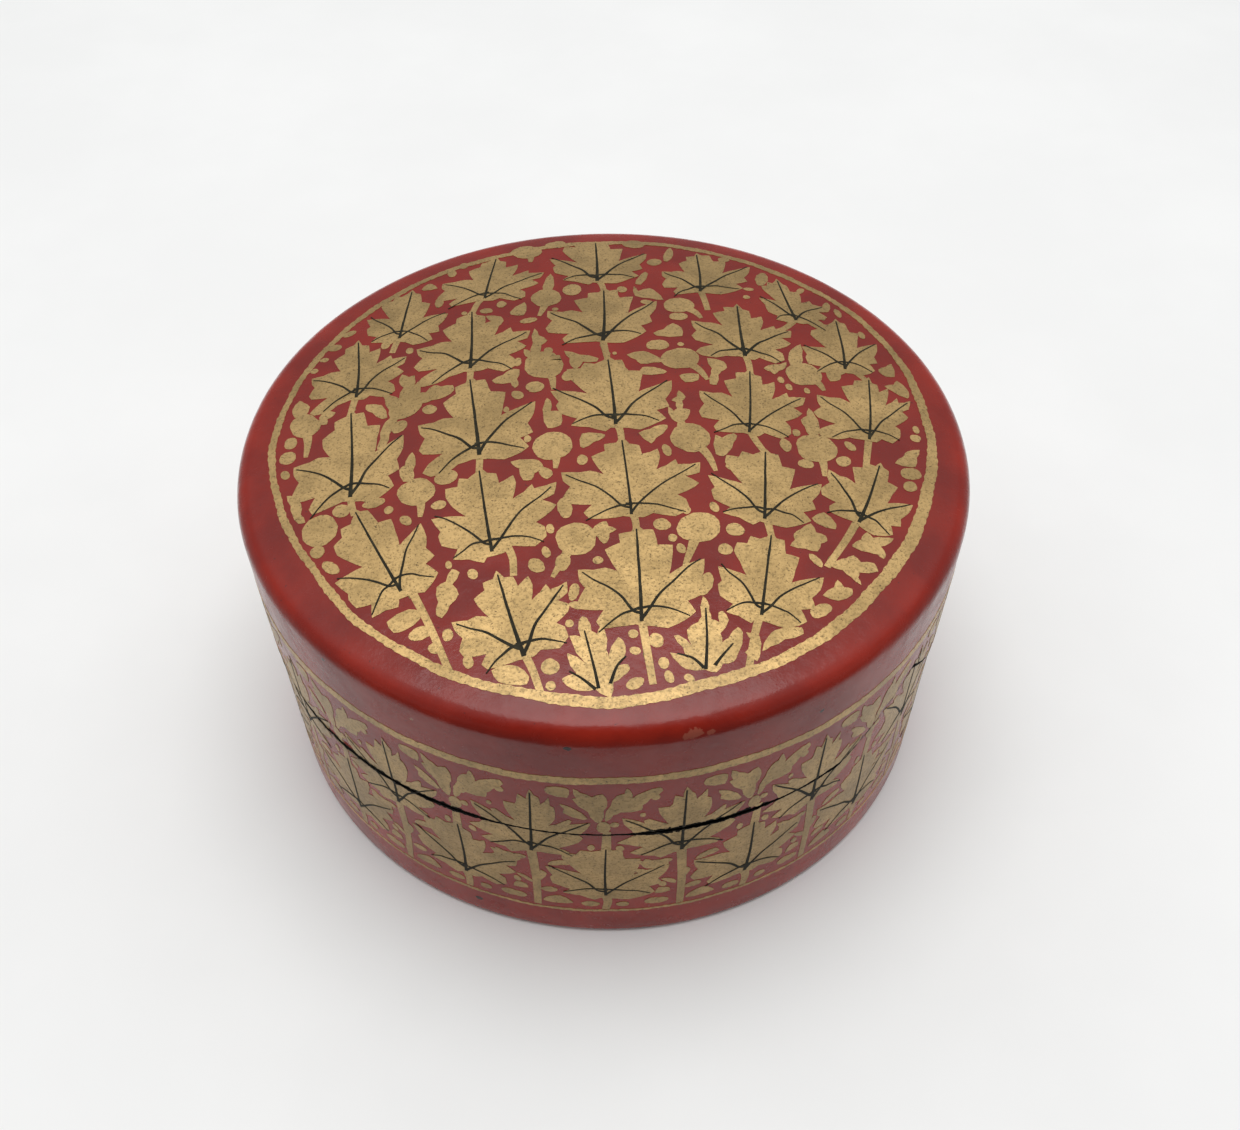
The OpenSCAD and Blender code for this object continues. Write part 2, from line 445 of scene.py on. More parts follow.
def turned_left(points):
    """The outline with its inside on the left."""
    return points if signed_area(points) > 0 else points[::-1]


def bowed(points, amount=0.07):
    """Each straight edge swells outwards a little, as a brush stroke does."""
    points = turned_left(points)
    out = []
    for i, (x, y) in enumerate(points):
        nx, ny = points[(i + 1) % len(points)]
        out.append((x, y))
        out.append(((x + nx) / 2 + (ny - y) * amount, (y + ny) / 2 - (nx - x) * amount))
    return out


def shaken(points, hand, amount):
    return [(x + hand.uniform(-amount, amount), y + hand.uniform(-amount, amount)) for x, y in points]


def placed(points, x, y, size, tilt=0, flip=False):
    c = math.cos(math.radians(tilt)) * size
    s = math.sin(math.radians(tilt)) * size
    way = -1 if flip else 1
    return [(x + way * px * c - py * s, y + way * px * s + py * c) for px, py in points]


def curve_through(points, steps=5):
    """A smooth line through a few points."""
    out = []
    padded = [points[0]] + list(points) + [points[-1]]
    for i in range(1, len(padded) - 2):
        a, b, c, d = padded[i - 1:i + 3]
        for j in range(steps):
            t = j / steps
            out.append(tuple(
                0.5 * (2 * q + (r - p) * t + (2 * p - 5 * q + 4 * r - s) * t ** 2
                       + (3 * q - p - 3 * r + s) * t ** 3)
                for p, q, r, s in zip(a, b, c, d)
            ))
    out.append(tuple(points[-1]))
    return out


def stroke(points, wide, narrow, steps=5):
    """Outline of a brush stroke that tapers from its start to its end."""
    line = curve_through(points, steps)
    left, right = [], []
    for i, (x, y) in enumerate(line):
        ax, ay = line[max(0, i - 1)]
        bx, by = line[min(len(line) - 1, i + 1)]
        run = math.hypot(bx - ax, by - ay) or 1
        t = i / (len(line) - 1)
        half = (wide + (narrow - wide) * t) / 2
        dx, dy = (by - ay) / run * half, (bx - ax) / run * half
        left.append((x - dx, y + dy))
        right.append((x + dx, y - dy))
    return turned_left(left + right[::-1])


def draw_flat(name, shapes, grid):
    """Paints flat shapes, each with its own lift, and cuts them into a grid."""
    only(None)
    bpy.ops.mesh.primitive_circle_add(vertices=3, radius=MM, fill_type="NGON")
    obj = name_piece(name)
    edit(obj)
    bpy.ops.mesh.delete(type="VERT")
    for outline, lift in shapes:
        count = len(outline)
        bpy.ops.mesh.primitive_circle_add(vertices=count, radius=MM, fill_type="NGON")
        mesh = bmesh.from_edit_mesh(obj.data)
        mesh.verts.ensure_lookup_table()
        for vert, (x, y) in zip(mesh.verts[-count:], outline):
            vert.co = (x * MM, y * MM, lift * MM)
    for face in mesh.faces:
        face.normal_update()
        if face.normal.z < 0:
            face.normal_flip()
    bmesh.update_edit_mesh(obj.data)
    bpy.ops.mesh.select_all(action="SELECT")
    bpy.ops.mesh.quads_convert_to_tris(ngon_method="CLIP")
    for normal, low, high, step in grid:
        place = math.ceil(low / step) * step
        while place < high:
            bpy.ops.mesh.select_all(action="SELECT")
            bpy.ops.mesh.bisect(
                plane_co=(normal[0] * place * MM, normal[1] * place * MM, 0), plane_no=normal,
            )
            place += step
    leave()
    return obj


def cut_away(obj, place, normal):
    """Cuts everything off on the side that the normal points to."""
    size = math.hypot(*normal)
    edit(obj)
    bpy.ops.mesh.select_all(action="SELECT")
    bpy.ops.mesh.bisect(
        plane_co=(place[0] * MM, place[1] * MM, 0),
        plane_no=(normal[0] / size, normal[1] / size, 0), clear_outer=True,
    )
    leave()


def twin(obj, name):
    only(obj)
    bpy.ops.object.duplicate(linked=False)
    return name_piece(name)


def join(obj, others):
    only(obj)
    for other in others:
        other.select_set(True)
    bpy.ops.object.join()
    return obj


def lay_on_top(obj, form, thick):
    for vert in obj.data.vertices:
        vert.co = on_top(vert.co.x / MM, vert.co.y / MM, vert.co.z / MM, form)
    return thicken(obj, thick * MM)


def wrap_on_side(obj, form, lid, thick):
    for vert in obj.data.vertices:
        vert.co = on_side(vert.co.x / MM, vert.co.y / MM, vert.co.z / MM, form, lid)
    return thicken(obj, thick * MM)


def split_at_seam(flat, form, lid_name, base_name):
    """Parts a flat side pattern along the seam and its tooth, into a lid's and a base's."""
    mm = math.radians(1) * form["base_r"]
    seam, top = form["seam"], form["seam"] + form["tooth"]
    start, peak, end = (TOOTH_AT - TOOTH_CLIMB) * mm, TOOTH_AT * mm, (TOOTH_AT + TOOTH_FALL) * mm
    climb = (form["tooth"], start - peak)
    fall = (form["tooth"], end - peak)
    base = twin(flat, base_name)
    cut_away(base, (0, seam - 0.03), (0, 1))
    tooth = twin(flat, base_name + "_tooth")
    cut_away(tooth, (0, seam - 0.03), (0, -1))
    cut_away(tooth, (start, seam - 0.03), (-climb[0], -climb[1]))
    cut_away(tooth, (end, seam - 0.03), (fall[0], fall[1]))
    join(base, [tooth])
    left = twin(flat, lid_name)
    raised = seam + form["gap"] + 0.03
    cut_away(left, (peak, 0), (1, 0))
    cut_away(left, (0, raised), (0, -1))
    cut_away(left, (start, raised), climb)
    right = flat
    cut_away(right, (peak, 0), (-1, 0))
    cut_away(right, (0, raised), (0, -1))
    cut_away(right, (end, raised), (-fall[0], -fall[1]))
    join(left, [right])
    return left, base


# A chinar leaf for a height of 1, its two halves from the tip down to the stem
WIDE_RIGHT = [
    (0.06, 0.9), (0.14, 0.88), (0.15, 0.75), (0.22, 0.78), (0.29, 0.82), (0.3, 0.72),
    (0.25, 0.54), (0.35, 0.6), (0.43, 0.67), (0.45, 0.6), (0.55, 0.61), (0.64, 0.63),
    (0.61, 0.5), (0.5, 0.45), (0.6, 0.37), (0.55, 0.31), (0.4, 0.22), (0.47, 0.16),
    (0.48, 0.05), (0.36, -0.04), (0.18, 0.01), (0.1, -0.04),
]
WIDE_LEFT = [
    (-0.05, 0.93), (-0.17, 0.93), (-0.17, 0.84), (-0.31, 0.8), (-0.28, 0.7), (-0.21, 0.55),
    (-0.33, 0.61), (-0.43, 0.61), (-0.59, 0.65), (-0.58, 0.54), (-0.53, 0.45), (-0.6, 0.33),
    (-0.56, 0.24), (-0.35, 0.19), (-0.42, 0.1), (-0.38, 0.02), (-0.22, 0), (-0.07, -0.01),
]
DEEP_RIGHT = [
    (0.05, 0.93), (0.12, 0.92), (0.14, 0.81), (0.15, 0.75), (0.27, 0.73), (0.25, 0.58),
    (0.22, 0.43), (0.35, 0.5), (0.5, 0.55), (0.48, 0.41), (0.42, 0.29), (0.45, 0.18),
    (0.34, 0.14), (0.4, 0.02), (0.32, -0.04), (0.19, -0.1), (0.09, -0.07),
]
DEEP_LEFT = [
    (-0.05, 0.93), (-0.12, 0.88), (-0.22, 0.9), (-0.25, 0.81), (-0.37, 0.8), (-0.38, 0.7),
    (-0.31, 0.57), (-0.21, 0.43), (-0.34, 0.46), (-0.54, 0.48), (-0.47, 0.32), (-0.5, 0.27),
    (-0.47, 0.15), (-0.32, 0.08), (-0.38, -0.02), (-0.23, -0.04), (-0.1, -0.1), (-0.05, -0.05),
]
LONG_LEFT = [
    (-0.05, 0.93), (-0.17, 0.93), (-0.17, 0.84), (-0.31, 0.8), (-0.28, 0.7), (-0.21, 0.55),
    (-0.33, 0.61), (-0.43, 0.61), (-0.59, 0.65), (-0.58, 0.54), (-0.53, 0.46), (-0.61, 0.36),
    (-0.56, 0.28), (-0.36, 0.2), (-0.51, 0.14), (-0.58, 0.07), (-0.51, 0), (-0.34, -0.03),
    (-0.22, 0), (-0.07, -0.01),
]
# The same for the upper row on the side, whose lower lobes spread under the seam
SPREAD_RIGHT = [
    (0.05, 0.92), (0.09, 0.89), (0.1, 0.79), (0.15, 0.84), (0.2, 0.91), (0.21, 0.79),
    (0.25, 0.77), (0.27, 0.68), (0.25, 0.58), (0.2, 0.47), (0.28, 0.5), (0.4, 0.6),
    (0.43, 0.59), (0.41, 0.52), (0.53, 0.55), (0.63, 0.57), (0.6, 0.48), (0.53, 0.39),
    (0.5, 0.36), (0.55, 0.3), (0.5, 0.22), (0.29, 0.11), (0.41, 0.05), (0.37, 0),
    (0.25, -0.01), (0.1, 0),
]
SPREAD_LEFT = [
    (-0.02, 0.9), (-0.03, 0.85), (-0.09, 0.9), (-0.11, 0.79), (-0.13, 0.75), (-0.22, 0.76),
    (-0.21, 0.66), (-0.17, 0.56), (-0.13, 0.47), (-0.2, 0.52), (-0.29, 0.6), (-0.33, 0.59),
    (-0.32, 0.54), (-0.39, 0.59), (-0.5, 0.65), (-0.49, 0.56), (-0.43, 0.45), (-0.4, 0.36),
    (-0.45, 0.3), (-0.54, 0.24), (-0.47, 0.2), (-0.33, 0.14), (-0.44, 0.07), (-0.36, 0.01),
    (-0.23, -0.02), (-0.18, -0.08), (-0.08, -0.03),
]
RIGHT_HALVES = [
    (WIDE_RIGHT, (0.64, 0.63)), (DEEP_RIGHT, (0.5, 0.55)), (SPREAD_RIGHT, (0.63, 0.57)),
]
LEFT_HALVES = [
    (WIDE_LEFT, (-0.59, 0.65)), (DEEP_LEFT, (-0.54, 0.48)), (SPREAD_LEFT, (-0.5, 0.65)),
    (LONG_LEFT, (-0.59, 0.65)),
]
# Veins as shares of the way out to a side lobe's end and up to the leaf's tip
UPPER_VEIN = [(0, 0), (0.13, 0.13), (0.3, 0.27), (0.5, 0.39), (0.75, 0.51), (0.94, 0.6)]
LOWER_VEIN = [(-0.05, 0.13), (0.14, 0.13), (0.32, 0.11), (0.5, 0.07), (0.7, 0)]


def fitted(points, base, tip, reach, lobe):
    """Half a leaf, stretched so that its lobe's end comes where the lobe is wanted."""
    ux, uy = tip[0] - base[0], tip[1] - base[1]
    wx = lobe[0] - base[0] - reach[1] * ux
    wy = lobe[1] - base[1] - reach[1] * uy
    out = []
    for x, y in points:
        share = x / reach[0]
        out.append((base[0] + y * ux + share * wx, base[1] + y * uy + share * wy))
    return out


def leaf(base, tip, left, right, kind, hand):
    """Outline of one leaf from its stem's end, its tip and the ends of its side lobes."""
    right_half, right_reach = RIGHT_HALVES[kind[0]]
    left_half, left_reach = LEFT_HALVES[kind[1]]
    loose = choices().unevenness
    size = math.dist(base, tip)
    edge = [tip] + fitted(right_half, base, tip, right_reach, right)
    edge += fitted(left_half, base, tip, left_reach, left)[::-1]
    edge = [edge[0]] + shaken(edge[1:], hand, 0.008 * size * loose)
    return bowed(edge, 0.025)


def vein_lift(lift, order=0):
    """Veins lie over the gold, and those that may cross lie a little apart."""
    return lift * 1.3 + 0.01 + 0.003 * order


def leaf_veins(base, tip, left, right, kind, hand):
    """The five ink veins of one leaf, as strokes."""
    right_reach = RIGHT_HALVES[kind[0]][1]
    left_reach = LEFT_HALVES[kind[1]][1]
    size = math.dist(base, tip)
    loose = choices().unevenness
    bend = hand.uniform(-0.01, 0.02) * size
    press = hand.uniform(0.8, 1.25)
    middle = [
        base,
        (base[0] * 0.6 + tip[0] * 0.4 + bend, base[1] * 0.6 + tip[1] * 0.4),
        (base[0] * 0.05 + tip[0] * 0.95, base[1] * 0.05 + tip[1] * 0.95),
    ]
    veins = [stroke(middle, 0.54 * press, 0.22)]
    for way, reach, lobe in ((1, right_reach, right), (-1, left_reach, left)):
        wide, high = abs(reach[0]), reach[1] / 0.63
        upper = [(way * x * wide, y * (0.4 + 0.6 * high)) for x, y in UPPER_VEIN]
        upper[0] = (0, 0.02 if way > 0 else 0.08)
        upper = [upper[0]] + shaken(upper[1:], hand, 0.01 * loose)
        veins.append(stroke(fitted(upper, base, tip, reach, lobe), 0.45 * press, 0.18))
        lower = [(way * x * wide, y) for x, y in LOWER_VEIN]
        lower = shaken(lower, hand, 0.012 * loose)
        veins.append(stroke(fitted(lower, base, tip, reach, lobe), 0.42 * press, 0.17))
    return veins


# Leaves on the top: stem's end, tip, left lobe's end, right lobe's end, kind
TOP_LEAVES = [
    ((-19.3, 32.4), (-17.9, 45.8), (-26.7, 37.8), (-9.5, 40), (0, 0)),
    ((-0.6, 36.6), (-0.8, 50), (-8.8, 44.2), (8, 45.4), (1, 1)),
    ((16.5, 33.2), (16.6, 45.8), (10.3, 39.3), (25.6, 41.6), (1, 0)),
    ((31.7, 25.6), (29.7, 38.1), (26.2, 31.8), (36.8, 30), (0, 1)),
    ((-32.6, 22.5), (-31.7, 36.6), (-38.5, 28.6), (-25.2, 28.6), (1, 1)),
    ((-20.6, 13.3), (-21.2, 29.4), (-29.4, 19.1), (-11.4, 22.5), (0, 3)),
    ((0.2, 19.1), (0.5, 34.3), (-8.8, 27.8), (9.2, 30.1), (1, 0)),
    ((22.5, 15.3), (22.3, 29.7), (14.5, 24.6), (30.5, 22.5), (0, 3)),
    ((38.1, 13.1), (38.3, 26.7), (31.7, 18.3), (44.2, 20.2), (1, 1)),
    ((-38, 8), (-39.3, 22.9), (-45.8, 13.7), (-30.9, 17.5), (0, 3)),
    ((-18.2, -6.7), (-20.6, 11.4), (-27.8, 0.4), (-10.3, 4.6), (1, 3)),
    ((1.9, -1.1), (0.9, 14.9), (-8, 6.9), (10.7, 8.8), (1, 1)),
    ((21.7, -2.7), (23, 12.2), (14.9, 6.5), (30.9, 5.7), (0, 0)),
    ((39.7, -3.1), (41.6, 11.4), (32.8, 6.5), (47.3, 6.1), (0, 3)),
    ((-36.6, -13.7), (-38.5, 5.3), (-45.8, -6.5), (-29.7, -1.5), (1, 0)),
    ((-15.6, -25.6), (-18.2, -9.2), (-24.4, -19), (-6.9, -13), (0, 1)),
    ((3.8, -19.5), (2.7, -3.8), (-6.1, -11), (14.1, -9.2), (0, 0)),
    ((22.5, -20.2), (23.8, -6.1), (14.9, -11.8), (31.3, -13), (1, 1)),
    ((35.9, -20.2), (40.7, -8), (32.8, -10), (44.2, -16.4), (1, 0)),
    ((-27.8, -31.7), (-35.9, -16), (-37, -29.7), (-25.9, -19.8), (1, 1)),
    ((-10.8, -43.1), (-14.9, -29), (-20.6, -37.4), (-5.3, -31.3), (0, 0)),
    ((4.7, -38.1), (4.4, -21.4), (-3.8, -29.4), (13.7, -27.5), (1, 0)),
    ((20.7, -37), (23.3, -22.5), (15.3, -29), (29.7, -30.5), (1, 1)),
]
# Stems on the top, from a leaf's base to what it grows from
TOP_STEMS = [
    [(-0.6, 37), (0.1, 35.6), (0.5, 33.6)], [(0.2, 19.4), (0.5, 17), (0.9, 14)],
    [(1.9, -0.6), (2.5, -2.4), (2.7, -4.6)], [(3.8, -19), (4.3, -20.6), (4.4, -22.6)],
    [(4.7, -37.6), (5.2, -42), (5.9, -47.8)], [(-19.3, 33), (-20.4, 31), (-21.1, 28)],
    [(-20.6, 14), (-20.5, 12), (-20.5, 10)], [(-18.2, -6.2), (-18.1, -8), (-18.1, -10.5)],
    [(-13.4, -25), (-12.7, -27), (-12.5, -30)], [(-10.8, -42.6), (-9.6, -45.4), (-8.6, -48.6)],
    [(16.5, 33.8), (17, 31), (17.4, 27.6)], [(22.5, 15.8), (22.9, 13.6), (23, 11)],
    [(21.7, -2), (22.6, -4.6), (23.8, -7.2)], [(22.5, -19.6), (22.9, -21), (23.2, -23.6)],
    [(20.7, -36.4), (19.6, -40), (18.4, -45.4)], [(31.7, 26), (29.4, 23), (26, 21.5)],
    [(38.1, 13.6), (39.6, 12.4), (41.2, 10.4)], [(39.7, -2.6), (39, -6), (38.2, -10)],
    [(35.9, -19.6), (33.4, -24), (30.4, -28.6)], [(-32.6, 23), (-33, 21), (-33.4, 18.6)],
    [(-38, 8.6), (-38.3, 6), (-38.5, 4)], [(-36.6, -13), (-36.3, -15), (-35.6, -17.4)],
    [(-26.4, -31.6), (-23.4, -38), (-20.2, -45.8)],
]
# Buds on the top: x, y, half width, half height, end of the tail
TOP_BUDS = [
    (-9, 13.4, 3, 3.4, (-7.5, 7.2)), (-9, 31.8, 2.5, 2.6, (-10.1, 26.5)),
    (-7.5, -5.3, 3.1, 3, (-7, -10.1)), (12.2, 14.4, 2.9, 2.6, (16.2, 9.2)),
    (12.8, 29, 2.5, 2.1, (16.2, 25.3)), (12.8, -4.1, 3, 3.1, (16.2, -11)),
    (31.4, 11.3, 2.7, 2.8, (34.1, 7.5)), (31.5, -5.5, 3.1, 3, (32, -11.4)),
    (-4, -23.8, 2.8, 2.9, (-7.2, -30.5)), (13.1, -22, 3, 2.8, (10.8, -29)),
    (-27, -13.7, 2.8, 2.7, (-26.1, -18.5)), (-40.3, -19.8, 2.7, 2.9, (-40.4, -22.6)),
    (-45.3, 2.4, 2.2, 2.7, (-44.3, -4.6)), (-12.8, 47, 2.6, 2.1, (-12, 43.6)),
]
# Small painted shapes between the leaves: pebbles as x, y, width, height, tilt
TOP_PEBBLES = [
    (-5.2, 10.4, 2, 2.6, -15), (-10.3, 8, 2.8, 2.6, 0), (-13, 6.3, 1.7, 2.2, 40),
    (-13.2, 14.3, 1.2, 2.2, 0), (-11.2, -3.7, 1.1, 1.5, 0), (-3.1, -8.5, 1.6, 2.1, 10),
    (9.3, -6.8, 1.2, 2.6, 15), (2, 15.7, 0.7, 0.8, 0), (12.5, 18.1, 1, 1, 0),
    (8.8, 17.9, 3.8, 2.6, 8), (-47, -1.2, 2, 2.6, 10), (-47.1, -4.4, 2.4, 2.8, 0),
    (-46.9, -8, 1.3, 2, 20), (-30.7, 0.4, 2, 3, -35), (-26.3, 3.9, 2.2, 2.1, 0),
    (-22.8, -11, 3.5, 2.5, 22), (-33, -15.2, 3.3, 1.7, 20), (-37.6, -16.3, 2.6, 2.5, 20),
    (-30.7, -16.8, 1.3, 1.5, 0), (-28.1, -19, 1.4, 2.2, 35), (-23.6, -16.4, 2.2, 1.7, 20),
    (-45.6, 15.6, 1.3, 1.3, 0), (27.6, 9.6, 1, 1.6, 10), (28.7, 8, 1, 1.6, 15),
    (31.4, 7.3, 0.9, 1.4, 15), (28.8, -2.4, 1.2, 1.6, 0), (26.9, -5.2, 1.6, 2.8, 10),
    (36.6, -4.8, 1.3, 2.3, 35), (35.2, -8.1, 2.4, 2, 25), (29.5, -9, 2.5, 1.8, -10),
    (47.2, -0.4, 1, 1.7, 0), (46.8, -2.3, 1.6, 1.6, 0), (44.9, -10, 3.2, 2.4, 0),
    (44.4, -12.6, 2.1, 2.1, 0), (-5.6, -18, 2, 3.9, 6), (-7.6, -21.9, 1.1, 1.9, 15),
    (-8.1, -26.1, 1.1, 2.1, 15), (-9.4, -28.4, 2, 2.7, 35), (-1, -27.8, 1.5, 1.3, 0),
    (8, -21.4, 2.5, 2.2, -20), (9.4, -23.9, 1.2, 1.5, 0), (10.5, -25.8, 1.2, 1.8, 15),
    (11.6, -18.7, 1.1, 1.6, 0), (15.5, -18.1, 1.2, 2, 20), (16.6, -25.9, 2.1, 2, 0),
    (18.2, -22.3, 2.6, 2.3, -20), (-5.8, -28, 2, 2.9, -10), (-4.3, -33.1, 1.3, 3, -8),
    (-3.8, -35.3, 2.4, 1.2, -12), (-4.9, -38.2, 1.1, 1.3, 0), (13.5, -32, 1.8, 4.1, -18),
    (3.5, -40.1, 1.4, 1.3, 0), (6.5, -41.1, 2.1, 2.2, 15), (3.7, -42.7, 1.5, 1.2, -20),
    (7.4, -44.6, 1.4, 1.8, 0), (8, -46.7, 1.2, 1.9, 20), (3.6, -47.6, 2.5, 1.6, 25),
    (10.6, -46.9, 1.5, 1.1, -35), (-7.4, -44.8, 2.4, 2.4, 0), (-7.3, -47.7, 1.3, 1.4, 0),
    (-40.2, -23.8, 2.1, 2.4, 0), (-38, -26.8, 3.1, 1.7, -42), (-21.5, -27.6, 0.9, 1.5, 10),
    (-18.1, -29.4, 1.3, 1.9, 18), (-24.7, -38.9, 3.2, 2.1, 18), (-22.6, -41.3, 1.8, 1.8, 0),
    (-21, -39.3, 1.5, 2, 0), (-18.1, -43.6, 1.3, 2.2, 12), (29, -27.5, 1.1, 2.7, 35),
    (28.8, -36, 3.4, 1.9, 32), (10.9, -36.2, 0.9, 1.2, 20), (-4.8, 34, 3.2, 3.4, 0),
    (3.5, 33.8, 1.6, 1.8, 0), (12.5, 25.7, 3, 2.1, 0), (7.6, 29.8, 2.4, 1.2, -22),
    (9.2, 42.5, 2.5, 2.2, 10), (-7.8, 49.2, 4, 2.3, 20), (5.8, 48.8, 3.8, 2.6, -10),
    (-11.8, 25.3, 2.8, 1.4, 15), (-8.4, 16.9, 1.4, 1.6, 0), (-7.5, 28.3, 1, 1, 0),
    (-26.8, 32.1, 1.4, 3.1, 0), (-25.3, 41, 1.5, 2.1, 0), (-23.4, 43.4, 1.5, 1.9, 0),
    (-43, 21.3, 2.2, 1.7, 10), (-41, 24.9, 2.4, 1.4, 35), (-34.7, 20.8, 1.4, 2, 0),
    (-44.3, 18.3, 1.4, 1.1, 0), (-18.8, 28.7, 2.2, 1.4, -5), (-22.4, 28.3, 1, 1.1, 0),
    (27.2, 37.8, 2, 4.2, -12), (24.7, 34.4, 1.8, 1, 0), (24.1, 31.9, 1.2, 1.1, 0),
    (21.2, 43.8, 2, 1.5, 0), (37.2, 29.9, 1.2, 3, -8), (38.9, 28.4, 1, 2.6, 12),
    (36.2, 26.7, 0.9, 1.3, 0), (34.5, 25, 1.4, 2, 0), (42, 22.5, 1, 2, 10),
    (-16.4, 30.4, 1.6, 1.9, 0), (-14.6, 3, 0.9, 1.3, 0), (35, 21.2, 1, 1.6, 0),
    (-33.2, 33.2, 1.2, 1.6, 40), (33.4, 34.6, 1.1, 1.9, -30), (-30.6, 18.8, 1.2, 1.6, 0),
]
